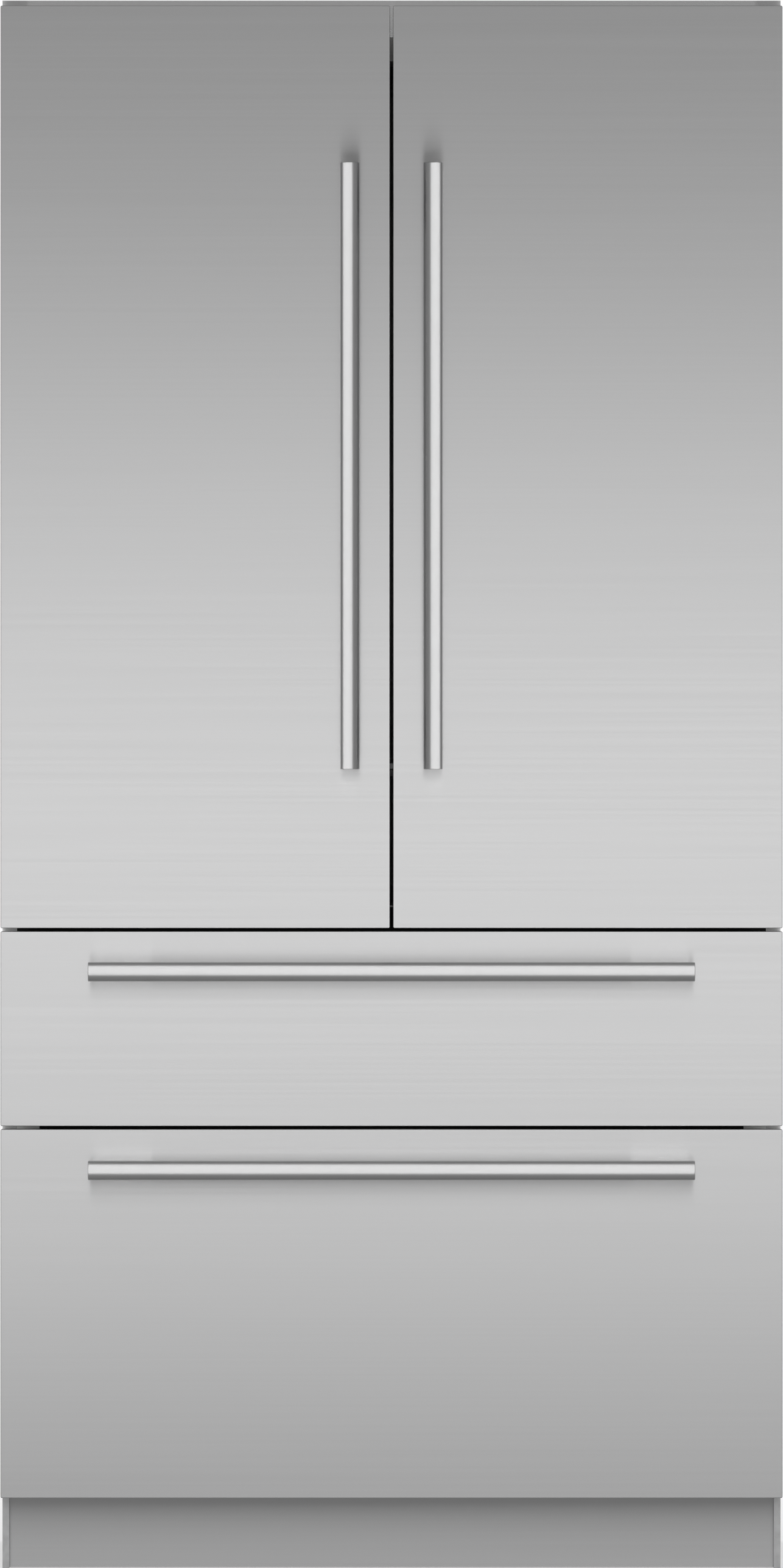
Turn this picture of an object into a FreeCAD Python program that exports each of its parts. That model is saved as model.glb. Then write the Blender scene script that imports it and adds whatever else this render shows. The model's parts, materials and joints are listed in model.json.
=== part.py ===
# Built-in French door refrigerator: two doors over two freezer drawers.
# The front faces -Y, +X is to the right seen from the front, and Z = 0 is the floor.
import FreeCAD, Part
import operator
import os
import Sketcher
from FreeCAD import Rotation, Vector

DIMENSIONS = (
    ("case_width", 1060, "outside width of the case and of the two doors together"),
    ("base_height", 101, "floor to the underside of the lower drawer front"),
    ("lower_front_height", 500, "height of the lower drawer front"),
    ("upper_front_height", 264, "height of the upper drawer front"),
    ("door_height", 1251, "height of each door"),
    ("reveal", 4.4, "gap between neighbouring fronts"),
    ("top_reveal", 3, "gap between the doors and the visible top trim"),
    ("top_trim_height", 9, "top trim seen above the doors"),
    ("top_flange", 30, "how far the top trim stands above the case"),
    ("trim_cover", 20, "how far the top trim laps down over the case front"),
    ("trim_lip", 25, "depth of the lip along the top of the trim"),
    ("trim_hole_radius", 3, "fixing holes in the lip of the top trim"),
    ("trim_hole_spacing", 700, "distance between the two fixing holes of the top trim"),
    ("cabinet_depth", 560, "face of the cabinet to its back"),
    ("seal_gap", 12, "gap between the fronts and the cabinet that the gaskets fill"),
    ("front_thickness", 62, "thickness of the doors and drawer fronts"),
    ("handle_standoff", 48, "front face to the axis of a handle bar"),
    ("handle_diameter", 26, "diameter of a handle bar"),
    ("handle_length", 820, "length of a handle bar"),
    ("handle_inset", 54, "edge of a front to the axis of its handle"),
    ("handle_edge_round", 2.5, "rounding of the ends of a handle bar"),
    ("bracket_length", 80, "length of each bracket behind a handle bar"),
    ("bracket_width", 16, "width of each bracket behind a handle bar"),
    ("bracket_setback", 6, "end of a handle bar to its bracket"),
    ("skin_thickness", 1.2, "steel skin of the fronts"),
    ("skin_return", 24, "folded edge of the skin, measured from the front face"),
    ("skin_round", 1, "bend radius of the skin"),
    ("skin_corner", 2, "rounded corners of the skin, seen from the front"),
    ("side_wall", 48, "outside of the case to the liner, at the sides"),
    ("back_wall", 60, "outside of the case to the liner, at the back"),
    ("ceiling_wall", 50, "outside of the case to the liner, at the top"),
    ("floor_wall", 46, "underside of the case to the freezer liner"),
    ("mullion_height", 60, "insulated floor between refrigerator and freezer"),
    ("liner_thickness", 2.5, "plastic liners"),
    ("liner_round", 14, "rounded inside corners of the liners"),
    ("sheet_thickness", 1, "steel sheet of the case"),
    ("face_thickness", 2.5, "trims and flanges on the face of the cabinet"),
    ("side_trim_width", 20, "steel trim up each side of the cabinet face"),
    ("drawer_rail_height", 48, "cross rail between the two drawers"),
    ("drawer_rail_depth", 30, "depth of the cross rail between the drawers"),
    ("machine_depth", 230, "depth of the machine space at the bottom of the back"),
    ("machine_height", 230, "height of the machine space"),
    ("machine_wall", 44, "insulation around the machine space"),
    ("gasket_side_inset", 24, "outer edge of a front to its gasket"),
    ("gasket_top_inset", 26, "top edge of a door to its gasket"),
    ("gasket_edge_inset", 6, "edge of a front to its gasket along the gaps between fronts"),
    ("gasket_width", 15, "width of the gasket"),
    ("gasket_clearance", 0.3, "gasket to the face it closes on"),
    ("dyke_depth", 30, "how far the rim on a door liner reaches into the cabinet"),
    ("dyke_width", 14, "thickness of the rim on a door liner"),
    ("dyke_side_inset", 62, "outer edge of a door to the rim of its liner"),
    ("dyke_centre_inset", 30, "centre line to the rim of a door liner"),
    ("dyke_end_gap", 10, "rim of a door liner to the floor and ceiling of the cabinet"),
    ("bin_depth", 110, "door bin, front to back"),
    ("bin_height", 105, "height of a door bin"),
    ("bin_wall", 3, "wall of a door bin"),
    ("bin_round", 18, "rounded corners of a door bin"),
    ("bin_first_height", 270, "lowest bin above the floor of the refrigerator"),
    ("bin_pitch", 300, "distance between door bins"),
    ("bin_count", 3, "bins on each door"),
    ("hinge_inset", 18, "outer edge of a door to its hinge axis"),
    ("hinge_pin_radius", 5, "hinge pins"),
    ("hinge_pin_length", 20, "hinge pin below its plate"),
    ("hinge_plate", 5, "thickness of the hinge plates"),
    ("hinge_eye_radius", 11, "rounded end of a hinge plate"),
    ("hinge_notch", 17, "height of the notch in a door for its hinge plate"),
    ("hinge_notch_width", 33, "width of the notch in a door for its hinge plate"),
    ("hinge_notch_setback", 5, "front face of a door to the notch"),
    ("hinge_plate_gap", 4, "hinge plate to the floor of its notch"),
    ("hinge_leg_height", 60, "leg of a hinge on the face of the cabinet"),
    ("hinge_leg_edge", 3, "outer edge of the case to the leg of a hinge"),
    ("hinge_leg_width", 19, "width of the leg of a hinge"),
    ("running_clearance", 0.05, "radial clearance of pins in their holes"),
    ("flap_width", 46, "width of the mullion flap"),
    ("flap_thickness", 14, "thickness of the mullion flap"),
    ("flap_axis_x", 24, "centre line to the axis of the mullion flap"),
    ("flap_axis_y", 11.3, "cabinet face to the axis of the mullion flap"),
    ("flap_heel", 2, "axis of the mullion flap to its near edge"),
    ("flap_back", 3, "axis of the mullion flap to its rear face"),
    ("flap_round", 2, "rounded edges of the mullion flap"),
    ("flap_pin_radius", 2.5, "pins of the mullion flap"),
    ("flap_ear", 5, "thickness of the ears that hold the mullion flap"),
    ("flap_ear_half", 6, "half width of the ears that hold the mullion flap"),
    ("flap_end_gap", 14, "end of the door rim to the mullion flap"),
    ("flap_ear_gap", 0.4, "mullion flap to its ears"),
    ("slide_width", 13, "width of a telescopic slide"),
    ("slide_height", 46, "height of a telescopic slide"),
    ("slide_wall", 1.6, "sheet of a telescopic slide"),
    ("slide_play", 0.6, "play between the members of a slide"),
    ("slide_rear_gap", 5.5, "freezer duct panel to the rear end of a telescopic slide"),
    ("slide_setback", 34, "cabinet face to the front of a slide"),
    ("tub_side_gap", 16, "wall of the freezer to a drawer tub"),
    ("tub_rear_gap", 11.5, "freezer duct panel to the back of a drawer tub"),
    ("tub_wall", 3, "wall of a drawer tub"),
    ("tub_gap", 10, "drawer tub to the rails and floor around it"),
    ("tub_top_gap", 26, "upper drawer tub to the ceiling above it"),
    ("tub_round", 6, "rounded corners of drawer tubs and crispers"),
    ("upper_slide_height", 60, "slide above the floor of the upper drawer tub"),
    ("lower_slide_height", 290, "slide above the floor of the lower drawer tub"),
    ("skirt_width", 9, "side plates of the base"),
    ("floor_gap", 0.6, "base and toe kick above the floor"),
    ("deck_thickness", 4, "deck of the base"),
    ("toe_recess", 25, "face of the cabinet to the toe kick"),
    ("toe_sheet", 1.5, "sheet of the toe kick"),
    ("toe_flange", 18, "folded edges of the toe kick"),
    ("toe_end_gap", 0.4, "toe kick to the side plates"),
    ("leg_inset", 70, "outside of the case to a front leg"),
    ("leg_setback", 75, "face of the cabinet to a front leg"),
    ("leg_pad_radius", 22, "pad of a front leg"),
    ("leg_pad_height", 9, "height of the pad of a front leg"),
    ("leg_cone_height", 18, "floor to the top of the cone above the pad"),
    ("leg_stem_radius", 6, "stem of a front leg"),
    ("leg_nut_radius", 11, "nut of a front leg"),
    ("leg_nut_height", 10, "height of the nut of a front leg"),
    ("roller_radius", 25, "rear roller"),
    ("roller_width", 24, "width of a rear roller"),
    ("roller_bevel", 3, "bevelled edges of a rear roller"),
    ("roller_inset", 70, "outside of the case to a rear roller"),
    ("roller_setback", 60, "back of the case to the axle of the rear rollers"),
    ("axle_radius", 5, "axle of a rear roller"),
    ("cheek_thickness", 4, "cheeks that hold a rear roller"),
    ("cheek_gap", 1, "rear roller to its cheeks"),
    ("cheek_half", 16, "half length of the cheeks"),
    ("duct_depth", 40, "air duct behind the panel in the refrigerator"),
    ("freezer_duct_depth", 58, "air duct behind the panel in the freezer"),
    ("duct_sheet", 3, "sheet of the duct panels"),
    ("duct_side_gap", 2, "duct panels to the rounded corners of the liner beside them"),
    ("duct_end_gap", 22, "duct panels to the floor and ceiling"),
    ("slot_width", 60, "air slots in the duct panels"),
    ("slot_height", 8, "height of an air slot"),
    ("slot_pitch", 240, "distance between air slots up the refrigerator duct"),
    ("slot_rows", 4, "rows of air slots up the refrigerator duct"),
    ("track_width", 18, "shelf track"),
    ("track_depth", 7, "depth of a shelf track"),
    ("track_slot", 14, "height of a slot in a shelf track"),
    ("track_slot_width", 5, "width of a slot in a shelf track"),
    ("track_pitch", 60, "distance between slots in a shelf track"),
    ("track_inner", 26, "centre line to the inner shelf tracks"),
    ("track_inset", 32.5, "side wall of the refrigerator to the outer shelf tracks"),
    ("track_above_floor", 330, "floor of the refrigerator to the shelf tracks"),
    ("shelf_setback", 118, "face of the cabinet to the front of the shelves"),
    ("shelf_glass", 5, "thickness of a glass shelf"),
    ("shelf_round", 8, "rounded corners of a glass shelf"),
    ("shelf_low_height", 300, "lower shelves above the crisper cover"),
    ("shelf_high_height", 580, "upper shelves above the crisper cover"),
    ("shelf_overhang", 8, "shelf glass past its arms, towards the sides"),
    ("arm_thickness", 3, "arms below a shelf"),
    ("arm_height", 36, "height of an arm at its track"),
    ("arm_tip", 12, "height of an arm at its front end"),
    ("arm_setback", 12, "front of the glass to the end of an arm"),
    ("crisper_height", 176, "height of a crisper"),
    ("crisper_lift", 8, "crisper above the floor of the refrigerator"),
    ("crisper_wall", 3, "wall of a crisper"),
    ("crisper_slope", 16, "how far the front of a crisper leans back at its foot"),
    ("crisper_play", 0.5, "crisper to its runners"),
    ("crisper_rear_gap", 8, "crisper to the duct panel behind it"),
    ("runner_width", 14, "ledges of the runners, from the wall"),
    ("runner_thickness", 4, "thickness of the runners"),
    ("runner_centre", 6, "thickness of the middle runner"),
    ("frame_bar", 22, "front and rear bars of the crisper frame"),
    ("light_width", 16, "light column"),
    ("light_thickness", 6, "how far a light column stands out from the wall"),
    ("light_setback", 124, "face of the cabinet to a light column"),
    ("light_end_gap", 120, "light column to the ceiling"),
    ("light_length", 560, "length of a light column"),
    ("light_round", 2.5, "rounded edges of a light column"),
    ("panel_width", 320, "control panel"),
    ("panel_depth", 70, "depth of the control panel"),
    ("panel_height", 14, "height of the control panel"),
    ("panel_round", 5, "rounded edges of the control panel"),
    ("button_radius", 6, "buttons of the control panel"),
    ("button_pitch", 48, "distance between buttons"),
    ("button_height", 1.5, "how far a button stands out"),
    ("compressor_radius", 78, "shell of the compressor"),
    ("compressor_height", 172, "height of the compressor shell"),
    ("compressor_dome", 40, "rounded ends of the compressor shell"),
    ("compressor_x", 250, "centre line to the compressor"),
    ("compressor_foot", 16, "rubber feet of the compressor"),
    ("compressor_plate", 4, "base plate of the compressor"),
    ("compressor_plate_depth", 124, "base plate of the compressor, front to back"),
    ("compressor_foot_x", 132, "distance between the feet of the compressor along the back"),
    ("compressor_foot_y", 100, "distance between the feet of the compressor, front to back"),
    ("fan_radius", 74, "condenser fan"),
    ("freezer_fan_radius", 52, "freezer fan"),
    ("fan_hub_share", 0.3, "hub of a fan, as a share of its radius"),
    ("fan_depth", 20, "length of a fan along its axis"),
    ("fan_lean_share", 0.8, "lean of a blade to each side, as a share of the radius of the hub"),
    ("fan_blade_setback", 2, "end of the hub to the edge of a blade"),
    ("fan_blade", 2.5, "thickness of a fan blade"),
    ("fan_blades", 5, "number of blades of a fan"),
    ("fan_gap", 5, "tip of a fan to its ring"),
    ("fan_shaft_radius", 3, "shaft of a fan motor"),
    ("fan_motor_radius", 20, "fan motor"),
    ("fan_motor_length", 26, "length of a fan motor"),
    ("fan_motor_gap", 2, "fan to its motor"),
    ("shroud_sheet", 3, "plate of the condenser fan"),
    ("shroud_x", 60, "centre line to the plate of the condenser fan"),
    ("shroud_arm_width", 8, "arms that hold a fan motor"),
    ("coil_inset", 60, "outside of the case to the condenser"),
    ("coil_length", 230, "length of the condenser"),
    ("coil_gap", 30, "condenser to the walls around it"),
    ("fin_thickness", 1.5, "fins of the condenser and the evaporator"),
    ("fin_count", 14, "number of fins"),
    ("tube_radius", 4, "tubes through the fins"),
    ("header_radius", 6, "upright headers at the ends of the tubes"),
    ("header_gap", 12, "outermost fins to the axis of the headers"),
    ("condenser_tubes", 5, "number of tubes of the condenser"),
    ("evaporator_tubes", 4, "number of tubes of the evaporator"),
    ("evaporator_width", 560, "evaporator"),
    ("evaporator_height", 170, "height of the evaporator"),
    ("evaporator_gap", 6, "evaporator to the duct panel"),
    ("cover_sheet_thickness", 1.5, "rear cover of the machine space"),
    ("cover_gap", 0.5, "rear cover to the case around it"),
    ("cover_setback", 2.5, "back of the case to the rear cover"),
    ("vent_width", 42, "vents in the rear cover"),
    ("vent_height", 7, "height of a vent"),
    ("vent_pitch_x", 62, "distance between vents along the cover"),
    ("vent_pitch_z", 18, "distance between vents up the cover"),
    ("vent_columns", 10, "columns of vents"),
    ("vent_rows", 6, "rows of vents"),
    ("inlet_width", 48, "mains inlet"),
    ("inlet_height", 28, "height of the mains inlet"),
    ("inlet_depth", 26, "depth of the mains inlet"),
    ("inlet_well_width", 24.5, "well of the mains inlet"),
    ("inlet_well_height", 17, "height of the well of the mains inlet"),
    ("inlet_well_depth", 16, "depth of the well of the mains inlet"),
    ("inlet_blade_width", 2, "contacts of the mains inlet"),
    ("inlet_blade_height", 6, "height of a contact"),
    ("inlet_blade_setback", 5.4, "mouth of the mains inlet to the ends of its contacts"),
    ("inlet_blade_pitch", 7, "distance between the contacts"),
    ("inlet_inset", 100, "outside of the case to the mains inlet"),
    ("inlet_lift", 160, "floor of the machine space to the mains inlet"),
    ("tip_length", 760, "anti-tip bracket"),
    ("tip_sheet", 3, "sheet of the anti-tip bracket"),
    ("tip_height", 28, "height of the anti-tip bracket"),
    ("tip_depth", 40, "depth of the anti-tip bracket"),
    ("tip_hole_radius", 4, "wall holes of the anti-tip bracket"),
    ("tip_hole_spacing", 600, "distance between the wall holes"),
)

doc = FreeCAD.newDocument("FrenchDoorRefrigerator")
sheet = doc.addObject("Spreadsheet::Sheet", "Dims")
for row, (alias, value, meaning) in enumerate(DIMENSIONS, start=1):
    sheet.set(f"A{row}", meaning)
    sheet.set(f"B{row}", str(value))
    sheet.setAlias(f"B{row}", alias)
doc.recompute()


class Length:
    """A size that knows its value in mm and the sheet expression it comes from."""

    def __init__(self, value, text):
        self.value = float(value)
        self.text = text

    def __add__(self, other):
        return joined(self, operator.add, "+", other)

    def __radd__(self, other):
        return joined(other, operator.add, "+", self)

    def __sub__(self, other):
        return joined(self, operator.sub, "-", other)

    def __rsub__(self, other):
        return joined(other, operator.sub, "-", self)

    def __mul__(self, other):
        return joined(self, operator.mul, "*", other)

    def __rmul__(self, other):
        return joined(other, operator.mul, "*", self)

    def __truediv__(self, other):
        return joined(self, operator.truediv, "/", other)

    def __neg__(self):
        return joined(0, operator.sub, "-", self)


def as_length(number):
    """The number itself if it is a Length, else a Length that holds it as a constant."""
    return number if isinstance(number, Length) else Length(number, f"({float(number)})")


def joined(left, action, sign, right):
    """The Length of one sum, difference, product or quotient."""
    left, right = as_length(left), as_length(right)
    return Length(action(left.value, right.value), f"({left.text} {sign} {right.text})")


class Sizes:
    """The rows of the sheet as Lengths, one attribute for each alias."""

    def __init__(self):
        for alias, _, _ in DIMENSIONS:
            setattr(self, alias, Length(sheet.get(alias), f"Dims.{alias}"))


d = Sizes()
OVER = 1.0  # how far a cutting block passes through what it cuts
SHEETS = 4  # a cut through a sheet is this many sheets long, centred on one face
LEFT, RIGHT = -1, 1
SIDES = (("left", LEFT), ("right", RIGHT))
nodes = []

# Places along the three axes that several pieces share.
half_width = d.case_width / 2
handle_radius = d.handle_diameter / 2
total_depth = d.cabinet_depth + d.seal_gap + d.front_thickness + d.handle_standoff + handle_radius
y_back = total_depth / 2
y_face = y_back - d.cabinet_depth
y_flange = y_face + d.face_thickness
y_seal = y_face - d.seal_gap
y_front = y_seal - d.front_thickness
y_bar = y_front - d.handle_standoff
y_liner = y_back - d.back_wall
y_cavity = y_liner - d.liner_thickness
y_duct = y_cavity - d.duct_depth
y_freezer_duct = y_cavity - d.freezer_duct_depth
y_machine = y_back - d.machine_depth
y_hump = y_machine - d.machine_wall
y_shelf = y_face + d.shelf_setback

z_lower = (d.base_height, d.base_height + d.lower_front_height)
z_upper = (z_lower[1] + d.reveal, z_lower[1] + d.reveal + d.upper_front_height)
z_door = (z_upper[1] + d.reveal, z_upper[1] + d.reveal + d.door_height)
z_top = z_door[1] + d.top_reveal + d.top_trim_height
z_case_top = z_top - d.top_flange
z_trim = z_case_top - d.trim_cover
z_mullion_middle = z_upper[1] + d.reveal / 2
z_mullion = (z_mullion_middle - d.mullion_height / 2, z_mullion_middle + d.mullion_height / 2)
z_rail_middle = z_lower[1] + d.reveal / 2
z_rail = (z_rail_middle - d.drawer_rail_height / 2, z_rail_middle + d.drawer_rail_height / 2)
z_fridge = (z_mullion[1], z_case_top - d.ceiling_wall)
z_fridge_inside = (z_fridge[0] + d.liner_thickness, z_fridge[1] - d.liner_thickness)
z_freezer = (d.base_height + d.floor_wall, z_mullion[0])
z_freezer_inside = (z_freezer[0] + d.liner_thickness, z_freezer[1] - d.liner_thickness)
z_machine = d.base_height + d.machine_height
z_hump = z_machine + d.machine_wall

liner_half = half_width - d.side_wall
cavity_half = liner_half - d.liner_thickness
flange_half = half_width - d.side_trim_width
tub_half = cavity_half - d.tub_side_gap
track_half = cavity_half - d.track_inset
inlet_middle = d.inlet_inset - half_width


def bind(item, name, length):
    """Ties one property of an object to the sheet."""
    item.setExpression(name, as_length(length).text)


def place(item, x=0, y=0, z=0):
    """Ties the position of an object to the sheet."""
    for axis, length in zip("xyz", (x, y, z)):
        bind(item, "Placement.Base." + axis, length)


def keep(item, label):
    """Names a finished sub-part; the name is also that of its file."""
    item.Label = label
    nodes.append(item)
    return item


def span(side, near, far):
    """Two places across the width, from the one nearer the centre line, on the left or right."""
    return (near, far) if side == RIGHT else (-far, -near)


def about(middle, width):
    """A span of the given width around a middle."""
    return (middle - width / 2, middle + width / 2)


def block(name, x, y, z):
    """A block that fills one span on each axis."""
    item = doc.addObject("Part::Box", name)
    for side, (low, high) in zip(("Length", "Width", "Height"), (x, y, z)):
        bind(item, side, high - low)
    place(item, x[0], y[0], z[0])
    return item


def rod(name, along, start, radius, length):
    """A round rod from a start point along X, Y or Z."""
    item = doc.addObject("Part::Cylinder", name)
    turns = {"x": Rotation(Vector(0, 1, 0), 90), "y": Rotation(Vector(1, 0, 0), -90), "z": Rotation()}
    item.Placement = FreeCAD.Placement(Vector(), turns[along])
    bind(item, "Radius", radius)
    bind(item, "Height", length)
    place(item, *start)
    return item


def fuse(name, *items):
    """One solid out of several that touch or overlap."""
    item = doc.addObject("Part::MultiFuse", name)
    item.Shapes = list(items)
    item.Refine = True
    return item


def cut(name, base, *tools):
    """What is left of the base once the tools are taken away."""
    item = doc.addObject("Part::Cut", name)
    item.Base = base
    item.Tool = tools[0] if len(tools) == 1 else fuse(name + "Tools", *tools)
    item.Refine = True
    return item


def group(name, items):
    """Several separate solids that count as one sub-part."""
    item = doc.addObject("Part::Compound", name)
    item.Links = list(items)
    return item


def edges_where(item, test):
    """Names of the edges that pass a test."""
    doc.recompute()
    return [f"Edge{number}" for number, edge in enumerate(item.Shape.Edges, start=1) if test(edge)]


def is_upright(edge):
    """Whether an edge runs more up and down than sideways."""
    ends = edge.Vertexes
    if len(ends) < 2:
        return False
    step = ends[1].Point - ends[0].Point
    return abs(step.z) > abs(step.x) + abs(step.y)


def runs_back(edge):
    """Whether an edge runs from front to back."""
    ends = edge.Vertexes
    if len(ends) < 2:
        return False
    step = ends[1].Point - ends[0].Point
    return abs(step.y) > abs(step.x) + abs(step.z)


def new_body(name):
    """A body for sketched features, with its coordinate planes at the origin of the object."""
    return doc.addObject("PartDesign::Body", name)


def datum(body, role):
    """A coordinate plane or axis of a body."""
    return next(feature for feature in body.Origin.OriginFeatures if feature.Role == role)


def sketch_on(body, role, height=0):
    """A sketch on a coordinate plane of a body, raised by a height along the normal of the plane."""
    sketch = body.newObject("Sketcher::SketchObject", body.Name + "Sketch")
    sketch.AttachmentSupport = [(datum(body, role), "")]
    sketch.MapMode = "FlatFace"
    bind(sketch, "AttachmentOffset.Base.z", height)
    return sketch


def hold(sketch, kind, element, point, length):
    """Holds one coordinate of a sketch point at a bound distance from the origin."""
    length = as_length(length)
    rule = Sketcher.Constraint(kind, -1, 1, element, point, length.value)
    index = sketch.addConstraint(rule)
    sketch.setExpression(f"Constraints[{index}]", length.text)


def outline(sketch, points):
    """A closed outline of straight lines through points given as pairs of lengths."""
    points = [(as_length(across), as_length(up)) for across, up in points]
    places = [Vector(across.value, up.value, 0) for across, up in points]
    first = sketch.GeometryCount
    count = len(places)
    for number in range(count):
        sketch.addGeometry(Part.LineSegment(places[number], places[(number + 1) % count]))
    for number in range(count):
        following = first + (number + 1) % count
        sketch.addConstraint(Sketcher.Constraint("Coincident", first + number, 2, following, 1))
    for number, (across, up) in enumerate(points):
        hold(sketch, "DistanceX", first + number, 1, across)
        hold(sketch, "DistanceY", first + number, 1, up)


def rectangle(sketch, across, up):
    """A rectangle that fills two spans."""
    outline(sketch, [(across[0], up[0]), (across[1], up[0]), (across[1], up[1]), (across[0], up[1])])


def circle(sketch, across, up, radius):
    """A circle around a bound centre."""
    across, up, radius = as_length(across), as_length(up), as_length(radius)
    shape = Part.Circle(Vector(across.value, up.value, 0), Vector(0, 0, 1), radius.value)
    element = sketch.addGeometry(shape)
    hold(sketch, "DistanceX", element, 3, across)
    hold(sketch, "DistanceY", element, 3, up)
    index = sketch.addConstraint(Sketcher.Constraint("Radius", element, radius.value))
    sketch.setExpression(f"Constraints[{index}]", radius.text)


def feature(body, kind, sketch, length, back=False, midplane=False):
    """A pad or pocket of a sketch; back turns it to the other side of the sketch."""
    item = body.newObject("PartDesign::" + kind, body.Name + kind)
    item.Profile = sketch
    item.Reversed = back
    item.Midplane = midplane
    bind(item, "Length", length)
    return item


def revolve(body, sketch, role):
    """A full turn of a sketch about an axis of the body."""
    item = body.newObject("PartDesign::Revolution", body.Name + "Revolution")
    item.Profile = sketch
    item.ReferenceAxis = (datum(body, role), [""])
    item.Angle = 360
    return item


def round_edges(body, base, radius, test):
    """A fillet on those edges of a feature that pass a test."""
    item = body.newObject("PartDesign::Fillet", body.Name + "Fillet")
    item.Base = (base, edges_where(base, test))
    bind(item, "Radius", radius)
    return item


def near(value, length):
    """Whether a measured place lies at a length."""
    return abs(value - as_length(length).value) < 1e-4


def make_case():
    """Steel sides and top in one bent sheet, the back sheet, and the foam between case and liners."""
    outside = block("CaseOutside", (-half_width, half_width), (y_flange, y_back), (d.base_height, z_case_top))
    inner = half_width - d.sheet_thickness
    inside = block("CaseInside", (-inner, inner), (y_flange - OVER, y_back + OVER),
                   (d.base_height - OVER, z_case_top - d.sheet_thickness))
    keep(cut("OuterCase", outside, inside), "outer_case")
    sheet_back = (y_back - d.sheet_thickness, y_back)
    keep(block("BackPanel", (-inner, inner), sheet_back, (z_machine, z_case_top - d.sheet_thickness)),
         "back_panel")

    foam = block("FoamBlock", (-inner, inner), (y_flange, sheet_back[0]),
                 (d.base_height, z_case_top - d.sheet_thickness))
    fridge = block("FoamFridge", (-liner_half, liner_half), (y_flange - OVER, y_liner), z_fridge)
    machine = block("FoamMachine", (-half_width, half_width), (y_machine, y_back + OVER),
                    (d.base_height - OVER, z_machine))
    keep(cut("Insulation", foam, fridge, freezer_space("FoamFreezer", y_flange - OVER, 0), machine),
         "insulation")


def freezer_space(name, y_start, skin):
    """The stepped space of the freezer, which leaves room for the machine space behind its floor."""
    half = liner_half - skin
    top = z_freezer[1] - skin
    low = block(name + "Low", (-half, half), (y_start, y_hump - skin), (z_freezer[0] + skin, top))
    high = block(name + "High", (-half, half), (y_start, y_liner - skin), (z_hump + skin, top))
    return fuse(name, low, high)


def rounded(name, item, test, radius):
    """A copy of an item with the edges that pass a test rounded."""
    numbers = [int(edge[4:]) for edge in edges_where(item, test)]
    soft = doc.addObject("Part::Fillet", name)
    soft.Base = item
    soft.Edges = [(number, radius.value, radius.value) for number in numbers]
    return soft


def make_liners():
    """The white linings of refrigerator and freezer, each with a flange on the face of the cabinet."""
    shell = block("FridgeShell", (-liner_half, liner_half), (y_flange, y_liner), z_fridge)
    flange = block("FridgeFlange", (-flange_half, flange_half), (y_face, y_flange), (z_fridge[0], z_trim))
    space = block("FridgeSpace", (-cavity_half, cavity_half), (y_face - OVER, y_cavity), z_fridge_inside)
    soft = rounded("FridgeSoftSpace", space, lambda edge: edge.CenterOfMass.y > y_face.value, d.liner_round)
    keep(cut("FridgeLiner", fuse("FridgeShellFlange", shell, flange), soft), "fridge_liner")

    shell = freezer_space("FreezerShell", y_flange, 0)
    flange = block("FreezerFlange", (-flange_half, flange_half), (y_face, y_flange),
                   (d.base_height, z_freezer[1]))
    space = freezer_space("FreezerSpace", y_face - OVER, d.liner_thickness)
    keep(cut("FreezerLiner", fuse("FreezerShellFlange", shell, flange), space), "freezer_liner")


def make_face():
    """Steel trims on the face of the cabinet: up the sides, over the top and across between the fronts."""
    face = (y_face, y_flange)
    strips = [block("SideTrim" + name, span(side, flange_half, half_width), face, (d.base_height, z_trim))
              for name, side in SIDES]
    keep(group("SideTrims", strips), "side_trims")
    keep(block("MullionRail", (-flange_half, flange_half), face, z_mullion), "mullion_rail")

    rail_back = y_face + d.drawer_rail_depth
    beam = block("DrawerRailBeam", (-cavity_half, cavity_half), (y_face, rail_back), z_rail)
    hollow = block("DrawerRailHollow", (-cavity_half - OVER, cavity_half + OVER),
                   (y_flange, rail_back + OVER),
                   (z_rail[0] + d.face_thickness, z_rail[1] - d.face_thickness))
    keep(cut("DrawerRail", beam, hollow), "drawer_rail")

    body = new_body("TopTrim")
    profile = sketch_on(body, "YZ_Plane")
    lip = z_top - d.face_thickness
    outline(profile, [(y_face, z_trim), (y_flange, z_trim), (y_flange, lip), (y_face + d.trim_lip, lip),
                      (y_face + d.trim_lip, z_top), (y_face, z_top)])
    feature(body, "Pad", profile, d.case_width, midplane=True)
    holes = sketch_on(body, "XY_Plane", z_top)
    for side in (LEFT, RIGHT):
        circle(holes, side * d.trim_hole_spacing / 2, y_face + (d.trim_lip + d.face_thickness) / 2,
               d.trim_hole_radius)
    feature(body, "Pocket", holes, d.face_thickness * SHEETS, midplane=True)
    keep(body, "top_trim")


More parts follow.
